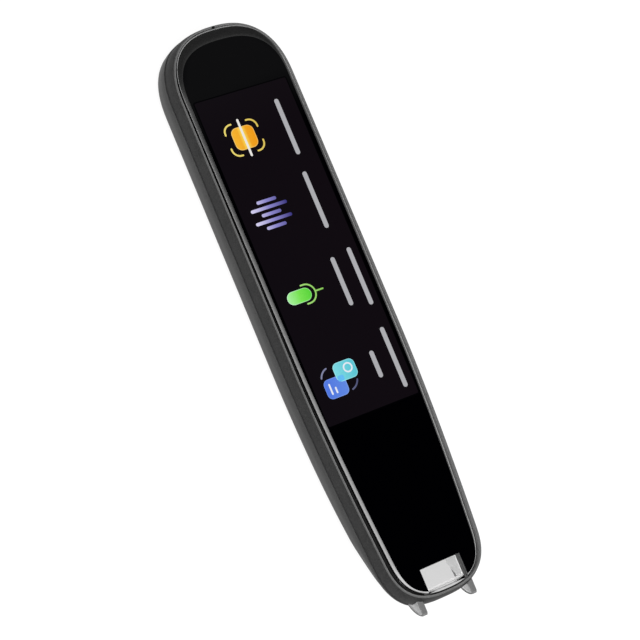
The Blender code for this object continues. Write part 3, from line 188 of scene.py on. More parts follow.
# Back cover: the curved lower half of the case, injection moulded in dark grey ABS.
# A spark-eroded mould gives it its fine grain; it snaps into the front shell, and it
# has the open mouth of the scanner, five speaker slots and the socket's hole.
MM = 0.001
LIP_HALF_WIDTH, LIP_TIP_Y, LIP_TOP_Y = 15.58, -73.8, 76.05
TIP_RUN, TOP_RUN = 11.8, 17.2
TAPER, TAPER_FROM_Y = 3.35, -10.0
CLIMB, CLIMB_FROM_Y, NOSE_Y = 0.95, -27.0, -74.9
PINCH, PINCH_FROM_Y, SHOULDER_SHARE = 1.4, -54.8, 0.42
TIP_STEPS, SIDE_STEPS, TOP_STEPS = 56, 76, 64
COVER_TOP, COVER_DEPTH, COVER_WALL, COVER_RIM = 9.08, 8.9, 1.4, 0.24
SHELL_FLARES = np.array((0.57, 0.95, 1.38))
BELLY_FLARE, BOTTOM_TURN = 0.97, np.array((4.6, 6.6, 4.9))
JOINT_INSET, TONGUE = 1.05, 0.14
MOUTH_HALF, MOUTH_REAR_Y = 8.9, -63.0
SPEAKER_Y, GRILLE_PITCH, GRILLE_SLOT = 49.0, 2.2, (8.5, 1.0, 0.5)
USB_Z, SOCKET_HOLE = 5.7, (9.54, 3.8, 1.5)


def outline(side, top=None, tip=None, extra_drop=0.0, extra_from=48.0, powers=(2.9, 2.65)):
    """Plan curve of the pen, grown outwards from the lip by side, top and tip.

    The half width is 15.58 + side, less 3.35 times the 1.75th power of the way
    down the taper from y = -10, less extra_drop times the way down from extra_from.
    Each end is a quarter superellipse: x is the half width times cos(a) to the
    power 2/p, y goes out from the end of the straight side by the run times
    sin(a) to the power 2/p, with one p of powers at the tip and one at the top.
    Points start at the middle of the tip and go up the right side.
    """
    top = side if top is None else top
    tip = side if tip is None else tip
    at_tip, at_top = 2 / powers[0], 2 / powers[1]
    tip_y, top_y = LIP_TIP_Y - tip, LIP_TOP_Y + top
    tip_run, top_run = TIP_RUN + tip, TOP_RUN + top
    turn = np.radians(np.linspace(90, 0, TIP_STEPS + 1))
    tip_line = tip_y + tip_run * (1 - np.sin(turn) ** at_tip)
    side_line = np.linspace(tip_y + tip_run, top_y - top_run, SIDE_STEPS + 1)[1:-1]
    bend = np.radians(np.linspace(0, 90, TOP_STEPS + 1))
    top_line = top_y - top_run * (1 - np.sin(bend) ** at_top)
    y = np.concatenate((tip_line, side_line, top_line))
    shape = np.concatenate((
        np.cos(turn) ** at_tip, np.ones(SIDE_STEPS - 1), np.abs(np.cos(bend)) ** at_top,
    ))
    shape[0] = shape[-1] = 0.0
    taper = TAPER * np.clip((TAPER_FROM_Y - y) / (TAPER_FROM_Y - LIP_TIP_Y), 0, None) ** 1.75
    taper += extra_drop * np.clip((extra_from - y) / (extra_from - LIP_TIP_Y), 0, None)
    x = (LIP_HALF_WIDTH + side - taper) * shape
    return np.column_stack((
        np.concatenate((x, -x[-2:0:-1])), np.concatenate((y, y[-2:0:-1])),
    ))


def at_height(curve, z):
    """A plan curve at a height, which is one number or one for each point."""
    return np.column_stack((curve, np.broadcast_to(z, len(curve))))


def straight_across(ring, columns=12):
    """Grid that closes a ring of the pen: each row runs straight from a point on
    the right side to the one that faces it on the left side."""
    half = len(ring) // 2
    right = ring[:half + 1]
    left = np.vstack((ring[:1], ring[:half - 1:-1]))
    way = np.linspace(0, 1, columns + 1)[None, :, None]
    return right[:, None] * (1 - way) + left[:, None] * way


def solid(name, grids, surfaces, smooth=30.0):
    """Object whose faces join the neighbouring points of grids.

    A grid is (points of rows x columns x 3, whether its columns close in a ring,
    the number of its material). Points in the same place become one, faces that
    lose a corner by it become triangles, and all are turned to face outwards.
    """
    points, quads, slots, start = [], [], [], 0
    for grid, closed, slot in grids:
        grid = np.asarray(grid)
        rows, columns = grid.shape[:2]
        number = start + np.arange(rows * columns).reshape(rows, columns)
        if closed:
            number = np.hstack((number, number[:, :1]))
        quad = np.stack(
            (number[:-1, :-1], number[:-1, 1:], number[1:, 1:], number[1:, :-1]), -1
        ).reshape(-1, 4)
        points.append(grid.reshape(-1, 3))
        quads.append(quad)
        slots.append(np.full(len(quad), slot))
        start += rows * columns
    points = np.concatenate(points)
    slots = np.concatenate(slots)
    _, first, same = np.unique(
        np.round(points, 4), axis=0, return_index=True, return_inverse=True
    )
    quads = same.ravel()[np.concatenate(quads)]
    repeats = quads == np.roll(quads, -1, axis=1)
    count = repeats.sum(1)
    faces = quads[count == 0].tolist()
    index = [slots[count == 0]]
    for corner in range(4):
        chosen = (count == 1) & repeats[:, corner]
        faces += np.delete(quads[chosen], corner, axis=1).tolist()
        index.append(slots[chosen])
    mesh = bpy.data.meshes.new(name)
    mesh.from_pydata((points[first] * MM).tolist(), [], faces)
    mesh.polygons.foreach_set("material_index", np.concatenate(index).astype(np.int32))
    return finished(name, mesh, surfaces, smooth)


def finished(name, mesh, surfaces=(), smooth=30.0):
    """Link a mesh as an object with its faces turned outwards and its materials."""
    work = bmesh.new()
    work.from_mesh(mesh)
    bmesh.ops.recalc_face_normals(work, faces=work.faces)
    work.to_mesh(mesh)
    work.free()
    for surface in surfaces:
        mesh.materials.append(surface)
    mesh.shade_smooth()
    mesh.set_sharp_from_angle(angle=np.radians(smooth))
    return linked(name, mesh)


def settle(piece):
    """Put the modifiers of a piece into its mesh."""
    bpy.context.view_layer.update()
    shaped = piece.evaluated_get(bpy.context.evaluated_depsgraph_get())
    mesh = bpy.data.meshes.new_from_object(shaped)
    piece.modifiers.clear()
    piece.data = mesh


def round_edges(piece, width, segments=3):
    """Round the sharp edges of a piece by a width."""
    step = piece.modifiers.new("round_edges", "BEVEL")
    step.width = width * MM
    step.segments = segments
    settle(piece)


def carve(piece, others, operation="DIFFERENCE", smooth=30.0):
    """Cut other solids out of a piece, or join them to it, and delete them."""
    for other in others:
        step = piece.modifiers.new(operation, "BOOLEAN")
        step.operation = operation
        step.solver = "EXACT"
        step.object = other
    settle(piece)
    for other in others:
        bpy.data.objects.remove(other, do_unlink=True)
    piece.data.shade_smooth()
    piece.data.set_sharp_from_angle(angle=np.radians(smooth))


def on_plane(shape, plane, place):
    """Points of an outline drawn in a plane, which stands at a place on the third axis."""
    order = {"xy": [0, 1, 2], "yz": [2, 0, 1], "xz": [0, 2, 1]}[plane]
    return at_height(shape, place)[:, order]


def prism(name, shape, low, high, plane, edge=0.0, slot=0):
    """Closed outline pulled from low to high across its plane, with round edges."""
    count = len(shape)
    ends = np.vstack([on_plane(shape, plane, place) for place in (low, high)])
    ring = np.arange(count)
    after = np.roll(ring, -1)
    mesh = bpy.data.meshes.new(name)
    sides = np.column_stack((ring, after, after + count, ring + count)).tolist()
    mesh.from_pydata(
        (ends * MM).tolist(), [], sides + [ring[::-1].tolist(), (ring + count).tolist()],
    )
    mesh.polygons.foreach_set("material_index", np.full(len(mesh.polygons), slot, np.int32))
    made = finished(name, mesh)
    if edge:
        round_edges(made, edge)
    return made


def box(name, low, high, edge=0.0, slot=0):
    """Block between two corners with round edges."""
    (x0, y0, z0), (x1, y1, z1) = low, high
    return prism(name, [(x0, y0), (x1, y0), (x1, y1), (x0, y1)], z0, z1, "xy", edge, slot)


def arc(centre, radius, start=0, stop=345, steps=23):
    """Points round a circle, or round its part from one angle in degrees to another."""
    turn = np.radians(np.linspace(start, stop, steps + 1))
    return centre + radius * np.column_stack((np.cos(turn), np.sin(turn)))


def round_box(width, height, radius):
    """Outline of a rectangle with round corners, centred on zero."""
    corner = arc((width / 2 - radius, height / 2 - radius), radius, 0, 90, 8)
    return np.vstack((
        corner, corner[::-1] * (-1, 1), corner * (-1, -1), corner[::-1] * (1, -1),
    ))


def linear(code):
    """An sRGB hex colour as linear red, green, blue and alpha."""
    value = np.array([int(code[i:i + 2], 16) for i in (1, 3, 5)]) / 255
    value = np.where(value <= 0.04045, value / 12.92, ((value + 0.055) / 1.055) ** 2.4)
    return (*value.tolist(), 1.0)


def principled(name, colour, roughness, **sockets):
    """A material with one Principled shader; returns it, its tree and the shader."""
    made = bpy.data.materials.new(name)
    made.use_nodes = True
    shader = made.node_tree.nodes["Principled BSDF"]
    fill(shader, {"Base Color": linear(colour), "Roughness": roughness})
    fill(shader, {socket.replace("_", " "): value for socket, value in sockets.items()})
    made.diffuse_color = linear(colour)
    return made, made.node_tree, shader


# Dark grey ABS, moulded against a spark-eroded steel: a satin surface whose pits of
# 0.1 to 0.2 mm break up every highlight. The pits are drawn 0.3 mm wide, so that they
# still show at four pixels to the millimetre.
def grained(name, dark, light, roughness, grain, relief, stretch=(1, 1, 1), **sockets):
    """A surface whose colour, gloss and height follow one grain of a size in mm.

    The colour runs from dark to light with the grain and, for 15 parts in 100, with
    clouds 20 times as wide, the roughness swings by 0.08 and the relief is the grain's
    height in mm; stretch draws the grain out along the axis whose number is small.
    """
    made, tree, shader = principled(name, dark, roughness, **sockets)
    place = add(tree, "TexCoord").outputs["Object"]
    laid = add(tree, "Mapping", {"Vector": place, "Scale": stretch})
    pits = add(tree, "TexNoise", {
        "Vector": laid, "Scale": 1000 / grain, "Detail": 2.0, "Roughness": 0.65,
    })
    clouds = add(tree, "TexNoise", {"Vector": place, "Scale": 50 / grain, "Detail": 3.0})
    mottle = add(tree, "Mix", {0: 0.15, 2: pits, 3: clouds})
    spread = add(tree, "MapRange", {"Value": mottle, "From Min": 0.36, "From Max": 0.64})
    tone = add(tree, "Mix", {0: spread, 6: linear(dark), 7: linear(light)}, data_type="RGBA")
    gloss = add(tree, "MapRange", {
        "Value": pits, "To Min": roughness - 0.08, "To Max": roughness + 0.08,
    })
    height = add(tree, "Bump", {"Height": pits, "Strength": 0.35, "Distance": relief * MM})
    fill(shader, {"Base Color": tone.outputs[2], "Roughness": gloss, "Normal": height})
    return made


case_plastic = grained(
    "dark_grey_moulded_abs", "#202020", "#363636", 0.50, 0.30, 0.06,
    IOR=1.53, Specular_IOR_Level=0.40,
)


def climb(y):
    """Share by which the back climbs towards the tip: 0.95 times the 2.6th power of
    the way from y = -27 to the nose."""
    return CLIMB * np.clip((CLIMB_FROM_Y - y) / (CLIMB_FROM_Y - NOSE_Y), 0, 1) ** 2.6


def cover_ring(side, top, tip, share, wall=0.0):
    """Ring of the cover at a share of its local depth, lifted by a wall inside.

    Below its shoulder the cover is up to 1.4 mm narrower at the tip, from y = -54.8.
    """
    pinch = PINCH * np.clip(share / SHOULDER_SHARE, 0, 1)
    curve = outline(side, top, tip, pinch, PINCH_FROM_Y)
    depth = COVER_DEPTH * (1 - climb(curve[:, 1])) - wall
    return at_height(curve, COVER_DEPTH - share * depth)


# Outside, from the joint with the shell down: a rounded rim, a side that swells to the
# belly over the first 0.26 of the depth, and a quarter turn from the shoulder to the flat.
shares = np.linspace(0.04, SHOULDER_SHARE, 14)
swell = 1 - np.clip(1 - shares / 0.26, 0, 1) ** 2
swell = SHELL_FLARES[0] + (BELLY_FLARE - SHELL_FLARES[0]) * swell
outer = [at_height(outline(-JOINT_INSET), COVER_TOP)]
for a in np.radians(np.linspace(90, 0, 6)):
    curve = outline(*(SHELL_FLARES - COVER_RIM * (1 - np.cos(a))))
    outer.append(at_height(curve, COVER_TOP - COVER_RIM * (1 - np.sin(a))))
outer += [cover_ring(s, *SHELL_FLARES[1:], share) for s, share in zip(swell, shares)]
belly = np.array((BELLY_FLARE, *SHELL_FLARES[1:]))
outer += [
    cover_ring(
        *(belly - BOTTOM_TURN * (1 - np.cos(a))), SHOULDER_SHARE + (1 - SHOULDER_SHARE) * np.sin(a)
    ) for a in np.radians(np.linspace(0, 90, 25)[1:])
]
# Inside, from the tongue that fits into the shell down to the floor.
inner = [
    at_height(outline(-inset), COVER_TOP + rise) for inset, rise in (
        (JOINT_INSET, 0.0), (JOINT_INSET, TONGUE), (JOINT_INSET + 0.35, TONGUE),
    )
]
inner += [
    cover_ring(-0.83 - 4.6 * inset, -0.45 - 4.6 * inset, -10.5, share, COVER_WALL)
    for inset, share in ((0.13, 0.05), (0.13, 0.15), (0.17, 0.55), (0.35, 0.82), (0.74, 1.0))
]
back_cover = solid("back_cover_shell", [
    (outer, True, 0), (straight_across(outer[-1]), False, 0),
    (inner, True, 0), (straight_across(inner[-1]), False, 0),
], [case_plastic])
cutters = [box("mouth", (-MOUTH_HALF, -90.0, -5.0), (MOUTH_HALF, MOUTH_REAR_Y, 15.0))]
for row in (-2, -1, 0, 1, 2):
    slot_shape = round_box(*GRILLE_SLOT) + (0.0, SPEAKER_Y + GRILLE_PITCH * row)
    cutters.append(prism("grille_slot", slot_shape, -2.0, 2.2, "xy"))
hole_shape = round_box(*SOCKET_HOLE) + (0.0, USB_Z)
cutters.append(prism("socket_hole", hole_shape, 69.0, 82.0, "xz"))
carve(back_cover, cutters)
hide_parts("back_cover")
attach(back_cover, "case")


# Socket: a stadium-shaped shell drawn from tin-plated steel round a black nylon tongue,
# which carries twelve gold-plated contacts on each face. Its feet are soldered down.
SOCKET_REAR, SOCKET_MOUTH = 69.1, 76.5
CONTACT_SIZE, CONTACT_Y, CONTACT_PITCH = (0.25, 3.6, 0.03), 72.4, 0.5


def blocks(name, centres, size, surface, edge=0.0):
    """Many like blocks in one mesh: a corner is its centre plus or minus half a side."""
    centres = np.asarray(centres, float)
    sign = np.array([(x, y, z) for z in (-1, 1) for x, y in ((-1, -1), (1, -1), (1, 1), (-1, 1))])
    points = centres[:, None] + sign * np.asarray(size) / 2
    sides = np.array([
        (0, 3, 2, 1), (4, 5, 6, 7), (0, 1, 5, 4), (1, 2, 6, 5), (2, 3, 7, 6), (3, 0, 4, 7),
    ])
    faces = (8 * np.arange(len(centres))[:, None, None] + sides).reshape(-1, 4)
    mesh = bpy.data.meshes.new(name)
    mesh.from_pydata((points.reshape(-1, 3) * MM).tolist(), [], faces.tolist())
    made = finished(name, mesh, [surface])
    if edge:
        round_edges(made, edge, 2)
    return made


def capped(rings):
    """Grid of a tube whose two ends close in their middle points."""
    rings = np.asarray(rings)
    ends = [np.tile(rings[end].mean(0), (1, rings.shape[1], 1)) for end in (0, -1)]
    return np.concatenate((ends[0], rings, ends[1]))


def every_pair(first, second):
    """Two columns that pair every number of the first row with every one of the second."""
    return np.column_stack([axis.ravel() for axis in np.meshgrid(first, second)])


def dress(surface, *nodes):
    """Give CAD nodes a material in place of their own."""
    for node in nodes:
        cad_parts[node].material_slots[0].material = surface


# Tin plating on drawn steel: bright, with fine lines 0.1 mm apart along the draw, which
# are stretched eight times as long as they are wide. The plated gold is smoother, and the
# moulded nylon is satin black with a fine even grain.
plated_steel = grained(
    "tin_plated_drawn_steel", "#a4a4a5", "#bcbcbd", 0.30, 0.10, 0.004,
    stretch=(1, 0.12, 1), Metallic=1.0,
)
gold = grained("gold_plated_contact", "#c99a45", "#d8ad5c", 0.25, 0.08, 0.002, Metallic=1.0)
black_nylon = grained(
    "black_moulded_nylon", "#141414", "#1d1d1e", 0.50, 0.12, 0.01, IOR=1.53, Specular_IOR_Level=0.3
)

# Rings of the shell by width, height, corner radius and y: out, round the mouth and back.
socket_rings = [
    on_plane(round_box(*size) + (0.0, USB_Z), "xz", y) for *size, y in (
        (8.54, 2.80, 1.00, SOCKET_REAR), (8.86, 3.12, 1.16, SOCKET_REAR + 0.06),
        (8.94, 3.20, 1.20, SOCKET_REAR + 0.20), (8.94, 3.20, 1.20, SOCKET_MOUTH - 0.10),
        (8.88, 3.14, 1.17, SOCKET_MOUTH - 0.02), (8.78, 3.04, 1.12, SOCKET_MOUTH),
        (8.50, 2.76, 0.98, SOCKET_MOUTH), (8.40, 2.66, 0.93, SOCKET_MOUTH - 0.03),
        (8.34, 2.60, 0.90, SOCKET_MOUTH - 0.12), (8.34, 2.60, 0.90, SOCKET_REAR + 0.40),
    )
]
socket_shell = solid("socket_shell", [(capped(socket_rings), True, 0)], [plated_steel])
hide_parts("usb_shell")
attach(socket_shell, "case")

contact_places = every_pair(CONTACT_PITCH * (np.arange(12) - 5.5), (5.345, 6.055))
contact_places = np.insert(contact_places, 1, CONTACT_Y, axis=1)
contacts = blocks("socket_contacts", contact_places, CONTACT_SIZE, gold)
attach(contacts, "case")
dress(black_nylon, "usb_tongue")


# Speaker: a closed black box behind a foam gasket and a woven steel mesh, held down on
# the grille by ribs of the cover. The mesh keeps dust out of the five slots.

# Closed-cell foam: dull black, its cut cells 0.35 mm wide.
foam = grained(
    "closed_cell_foam", "#141414", "#222222", 0.85, 0.35, 0.08, IOR=1.45, Specular_IOR_Level=0.2
)


def lined(name, colours, roughness, pitch, bands, edges, strength, relief, **sockets):
    """A surface of parallel lines at a pitch in mm across each of the axes in bands.

    A wave texture's period is 0.31416 / scale. Where waves cross, the higher one
    counts; as its height goes from one of the edges to the other, the colour goes
    from the second of colours to the third, and the relief in mm follows its height.
    The first colour is what a viewer without nodes shows.
    """
    even, dark, light = colours.split()
    made, tree, shader = principled(name, even, roughness, **sockets)
    place = add(tree, "TexCoord").outputs["Object"]
    lines, *crossing = [
        add(tree, "TexWave", {
            "Vector": place, "Scale": 0.31416 / (pitch * MM),
        }, bands_direction=axis).outputs["Fac"] for axis in bands
    ]
    for wave in crossing:
        lines = add(tree, "Math", {0: lines, 1: wave}, operation="MAXIMUM")
    share = add(tree, "MapRange", {"Value": lines, "From Min": edges[0], "From Max": edges[1]})
    tone = add(tree, "Mix", {0: share, 6: linear(dark), 7: linear(light)}, data_type="RGBA")
    height = add(tree, "Bump", {"Height": lines, "Strength": strength, "Distance": relief * MM})
    fill(shader, {"Base Color": tone.outputs[2], "Normal": height})
    return made


# Plain-woven wire of 0.2 mm on a pitch of 0.6 mm, drawn twice as coarse as it is, so
# that its crossings show through the slots.
woven_wire = lined(
    "woven_steel_wire", "#8a8a8c #0c0c0d #9a9a9c", 0.35,
    0.6, "XY", (0.5, 0.9), 1.0, 0.15, Metallic=1.0,
)
dress(black_nylon, "speaker")
dress(foam, "speaker_gasket")
dress(woven_wire, "speaker_mesh")


# Battery: one lithium pouch of laminated aluminium foil between ribs of the cover, with
# a white plug on the board. The foil wrinkles softly every 3 mm; the plug is satin nylon.
foil = grained(
    "laminated_foil_pouch", "#8b8d90", "#a3a5a8", 0.38, 3.0, 0.15,
    stretch=(1, 0.4, 1), Metallic=0.85,
)
white_nylon = grained(
    "white_moulded_nylon", "#d2d0c8", "#dfddd5", 0.45, 0.30, 0.01, IOR=1.53
)
dress(foil, "battery")
dress(white_nylon, "battery_connector")


# Main board: fibreglass laminate under green solder mask, held on the chassis by four
# screws. It carries the chips in black epoxy, a plated can, two microphones, rows of
# small ceramic parts and the amber film of the antenna at its top edge.
CERAMIC_Z = 8.86

# The mask lets copper tracks show as lighter lines 0.25 mm wide, here on a grid of
# 1.6 x 4 mm, and leaves tinned dots of 0.5 mm open.
circuit_board, tree, shader = principled("solder_masked_fibreglass", "#123f22", 0.35, IOR=1.50)
place = add(tree, "TexCoord").outputs["Object"]
tracks = add(tree, "TexBrick", {
    "Vector": place, "Scale": 1000.0, "Color1": linear("#123f22"), "Color2": linear("#164a28"),
    "Mortar": linear("#2c6b3c"), "Mortar Size": 0.12, "Mortar Smooth": 0.3,
    "Brick Width": 4.0, "Row Height": 1.6,
})
dots = add(tree, "TexVoronoi", {"Vector": place, "Scale": 1000 / 3.4})
tinned = add(tree, "MapRange", {"Value": dots, "From Min": 0.09, "From Max": 0.07})
tone = add(tree, "Mix", {0: tinned, 6: tracks, 7: linear("#b4b4b0")}, data_type="RGBA")
track_height = add(tree, "Bump", {
    "Height": tracks.outputs["Fac"], "Strength": 0.6, "Distance": 0.03 * MM,
})
fill(shader, {"Base Color": tone.outputs[2], "Metallic": tinned, "Normal": track_height})

# Black epoxy, moulded round the chip: its filler of 0.1 mm gives a fine matt grain.
chip_epoxy = grained(
    "filled_black_epoxy", "#17181a", "#212226", 0.50, 0.12, 0.01, IOR=1.55, Specular_IOR_Level=0.4
)
# Amber polyimide film over etched copper lines 0.8 mm apart, glossy and a little wavy.
amber_film = lined(
    "copper_clad_polyimide", "#8a4f12 #8a4f12 #c07a2c", 0.28,
    0.8, "X", (0.45, 0.6), 0.4, 0.03, IOR=1.60,
)
# Fired ceramic: tan, satin and even.
ceramic = grained("fired_tan_ceramic", "#8d7350", "#a0855f", 0.40, 0.20, 0.01, IOR=1.60)
dress(circuit_board, "main_board", "light_board", "sensor_board")
dress(chip_epoxy, "processor", "memory_chip")
dress(plated_steel, "wireless_shield", "microphone_top", "microphone_tip")
dress(plated_steel, *(f"board_screw_{number}" for number in (1, 2, 3, 4)))
dress(amber_film, "antenna")

part_places = at_height(np.vstack((
    every_pair((-8.6, -7.4, 7.4, 8.6), 1.6 * np.arange(8) - 1.6),
    every_pair(1.4 * (np.arange(7) - 3), (-5.4, -3.8, 12.0, 30.2, 52.6)),
)), CERAMIC_Z)
small_parts = blocks("board_ceramics", part_places, (0.5, 1.0, 0.5), ceramic, edge=0.05)
end_places = np.vstack((part_places - (0, 0.45, 0), part_places + (0, 0.45, 0)))
small_ends = blocks("board_ceramic_ends", end_places, (0.54, 0.24, 0.54), plated_steel)
for piece, slot in ((small_parts, "circuit_board"), (small_ends, "plated_steel")):
    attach(piece, "case")


# Scan engine: a camera that looks down a black tunnel at the line of print, lit by two
# white lamps. Housing, barrel and tunnel are moulded matt black, so that no light strays.
matt_black = grained(
    "matt_black_moulded_polycarbonate", "#101011", "#18181a", 0.65, 0.20, 0.02,
    IOR=1.58, Specular_IOR_Level=0.2,
)
# Phosphor powder in clear silicone, poured over the lamp's chip: soft yellow, with a
# speckle of 0.15 mm.
phosphor = grained("phosphor_filled_silicone", "#d6c464", "#e8dc90", 0.35, 0.15, 0.01, IOR=1.41)
# Ground and polished glass with a coating that turns from violet to green on its rim.
coated_glass, tree, shader = principled(
    "coated_polished_glass", "#241c40", 0.02, IOR=1.52, Transmission_Weight=0.6
)
slant = add(tree, "LayerWeight", {"Blend": 0.4}).outputs["Facing"]
tone = add(tree, "Mix", {0: slant, 6: linear("#2c2158"), 7: linear("#2b5a48")}, data_type="RGBA")
fill(shader, {"Base Color": tone.outputs[2]})


def smear(tree, shader, width, low, high, detail=1.0):
    """Roughness that swings from low to high in soft clouds of a width in mm."""
    place = add(tree, "TexCoord").outputs["Object"]
    clouds = add(tree, "TexNoise", {"Vector": place, "Scale": 1000 / width, "Detail": detail})
    gloss = add(tree, "MapRange", {"Value": clouds, "To Min": low, "To Max": high})
    fill(shader, {"Roughness": gloss})


smear(tree, shader, 0.5, 0.01, 0.05, 2.0)
dress(matt_black, "camera_housing", "camera_barrel", "light_tunnel")
dress(phosphor, "scan_lamp_left", "scan_lamp_right")
dress(coated_glass, "camera_lens")


# Chassis: a thin magnesium casting with four bosses, which carries the display above it
# and the board below. The die leaves a dull grey skin with a grain of 0.4 mm and flow
# marks of 8 mm.
cast_alloy = grained(
    "die_cast_magnesium", "#7f8184", "#97999c", 0.48, 0.40, 0.03, Metallic=0.9
)
dress(cast_alloy, "chassis")


# Springs and trigger: two coils of drawn wire push the foot out, and a white plunger on
# its bridge presses the small black switch that starts a scan.
FIN_X, PIN_Z = 7.1, 10.4
SPRING_SEAT_Y, SPRING_FRONT_Y, PRESS = -57.0, -61.3, 1.0

# Drawn spring wire: bright steel, whose draw lines only soften its highlight.
spring_wire = grained("drawn_spring_wire", "#8c8c8e", "#a6a6a8", 0.27, 0.06, 0.003, Metallic=1.0)


def coil(middle_x, turns=5, radius=1.3, wire=0.18):
    """Grid of a wound wire: ten points round each of 30 places to a turn.

    The wire's middle is at (R cos a, R sin a) about the guide pin while y grows in
    step with a, and its ring lies across the wire; both ends close in a point.
    """
    a = np.linspace(0, 2 * np.pi * turns, int(30 * turns) + 1)[:, None]
    ring = np.radians(np.arange(0, 360, 36))
    reach = radius + wire * np.cos(ring)
    y = np.linspace(SPRING_FRONT_Y + wire, SPRING_SEAT_Y - 0.3 - wire, len(a))[:, None]
    grid = np.stack((
        middle_x + reach * np.cos(a), y + wire * np.sin(ring), PIN_Z + reach * np.sin(a),
    ), axis=-1)
    return capped(grid)


for side, node in ((-1, "foot_spring_left"), (1, "foot_spring_right")):
    spring = solid(f"{node}_wire", [(coil(side * FIN_X), True, 0)], [spring_wire], smooth=60)
    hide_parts(node)
    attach(spring, "case")
    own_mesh(spring)
dress(white_nylon, "trigger_plunger")
dress(black_nylon, "trigger_switch")


# Scan foot: one clear polycarbonate moulding of two round-bottomed fins, the bridge
# between them and two guide pins. It slides into the case when the tip is pressed down,
# on dark grey runners that are moulded along the rim of each fin.
FIN_HALF, FIN_TOP, FIN_HEEL_Y = 0.70, 12.5, -64.5
FIN_TIP_Y, FIN_MIDDLE_Y, FIN_REACH, FIN_DEPTH = -76.5, -68.1, 8.9, 7.3
BRIDGE_Y, BRIDGE_REAR_Y = -63.5, -61.6
PIN_RADIUS, PIN_FRONT_Y, PIN_REAR_Y = 0.75, -62.5, -55.5
RUNNER, RUNNER_EDGE = 0.32, 0.10

# Polycarbonate from a polished mould: as clear as glass, with faint flow lines 2 mm
# apart; the fins' flanks are etched in the mould to a frosted skin, and the runners have
# a satin one.
clear_fin, tree, shader = principled(
    "clear_polished_polycarbonate", "#f2f2f3", 0.05, IOR=1.58, Transmission_Weight=1.0
)
smear(tree, shader, 2.0, 0.02, 0.09)
frosted_flank = grained(
    "etched_polycarbonate_flank", "#9a9a9a", "#aaaaaa", 0.45, 0.20, 0.02,
    IOR=1.58, Transmission_Weight=0.60,
)
runner_plastic = grained(
    "dark_grey_runner", "#606060", "#747474", 0.50, 0.25, 0.03, IOR=1.53, Specular_IOR_Level=0.3
)


def fin_rim(inset):
    """Rim of a fin from its top front corner to its heel, drawn in by an inset: a
    quarter ellipse with y = middle - reach cos(a) and z = top - 0.5 - depth sin(a)."""
    turn = np.radians(np.linspace(0, 90, 25))
    y = FIN_MIDDLE_Y - (FIN_REACH - inset) * np.cos(turn)
    z = FIN_TOP - 0.5 - (FIN_DEPTH - inset) * np.sin(turn)
    return np.vstack(([(FIN_TIP_Y + inset, FIN_TOP - inset)], np.column_stack((y, z))))


def coat(piece, *surfaces):
    """Give a piece its materials; returns the middles in mm and the normals of its faces."""
    piece.data.materials.clear()
    for surface in surfaces:
        piece.data.materials.append(surface)
    found = np.empty((2, 3 * len(piece.data.polygons)))
    for values, what in zip(found, ("center", "normal")):
        piece.data.polygons.foreach_get(what, values)
    middles, facing = found.reshape(2, -1, 3)
    return middles / MM, facing


fin_shape = np.vstack((
    fin_rim(RUNNER)[1:],
    [(FIN_HEEL_Y, 4.7 + RUNNER), (FIN_HEEL_Y, 8.2), (BRIDGE_REAR_Y, 8.2), (BRIDGE_REAR_Y, FIN_TOP)],
    [(-73.4, FIN_TOP), (-73.6, FIN_TOP - RUNNER), (-76.7, FIN_TOP - RUNNER)],
))
scan_foot = prism("scan_foot_fins", fin_shape, -FIN_X - FIN_HALF, -FIN_X + FIN_HALF, "yz", 0.15)
parts = [
    prism("fin", fin_shape, FIN_X - FIN_HALF, FIN_X + FIN_HALF, "yz", 0.15),
    box("bridge", (-FIN_X, BRIDGE_Y, 9.8), (FIN_X, BRIDGE_REAR_Y, FIN_TOP), 0.15),
]
parts += [
    prism("pin", arc((x, PIN_Z), PIN_RADIUS), PIN_FRONT_Y, PIN_REAR_Y, "xz", 0.15)
    for x in (-FIN_X, FIN_X)
]
carve(scan_foot, parts, "UNION")
middles, facing = coat(scan_foot, clear_fin, frosted_flank)
flank = (facing[:, 0] * np.sign(middles[:, 0]) > 0.99) & (np.abs(middles[:, 0]) > FIN_X + 0.5)
scan_foot.data.polygons.foreach_set("material_index", flank.astype(np.int32))
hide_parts("scan_foot")
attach(scan_foot, "foot")

# Runners: six lines along the rim of a fin, of which the outer four go round its edge.
outer_rim = np.vstack(([(-73.2, FIN_TOP)], fin_rim(0.0)))
inner_rim = np.vstack(([(-73.6, FIN_TOP - RUNNER)], fin_rim(RUNNER)))
runner_grids = []
for side in (-1, 1):
    rows = []
    for offset, pull in (
        (-FIN_HALF, RUNNER_EDGE), (-FIN_HALF + RUNNER_EDGE, 0.0), (FIN_HALF - RUNNER_EDGE, 0.0),
        (FIN_HALF, RUNNER_EDGE), (FIN_HALF, RUNNER), (-FIN_HALF, RUNNER),
    ):
        rim = outer_rim + (inner_rim - outer_rim) * pull / RUNNER
        rows.append(on_plane(rim, "yz", side * FIN_X + offset))
    runner_grids.append((capped(np.stack(rows, axis=1)), True, 0))
runners = solid("fin_runners", runner_grids, [runner_plastic], smooth=40)
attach(runners, "foot")


# Scan head: a hollow block of clear polycarbonate under the window. Its pane fills the
# window, its plate is glued under the glass, and its two walls and its nose frame the
# line of print.
HEAD_TOP, HEAD_PLATE, HEAD_FOOT = 13.95, 13.6, 6.4
HEAD_REAR_Y, HEAD_FRONT_Y = -64.1, -71.4
HEAD_NOSE_Y, HEAD_NOSE_Z, HEAD_JOIN_Z = -71.9, 10.8, 13.2
PANE_HALF, PANE_LOW_Y, PANE_HIGH_Y = 5.62, -72.75, -66.45
HEAD_WALL = (5.275, 6.175)
LEDGE_BOTTOM, GLASS_BOTTOM = 12.8, 14.25

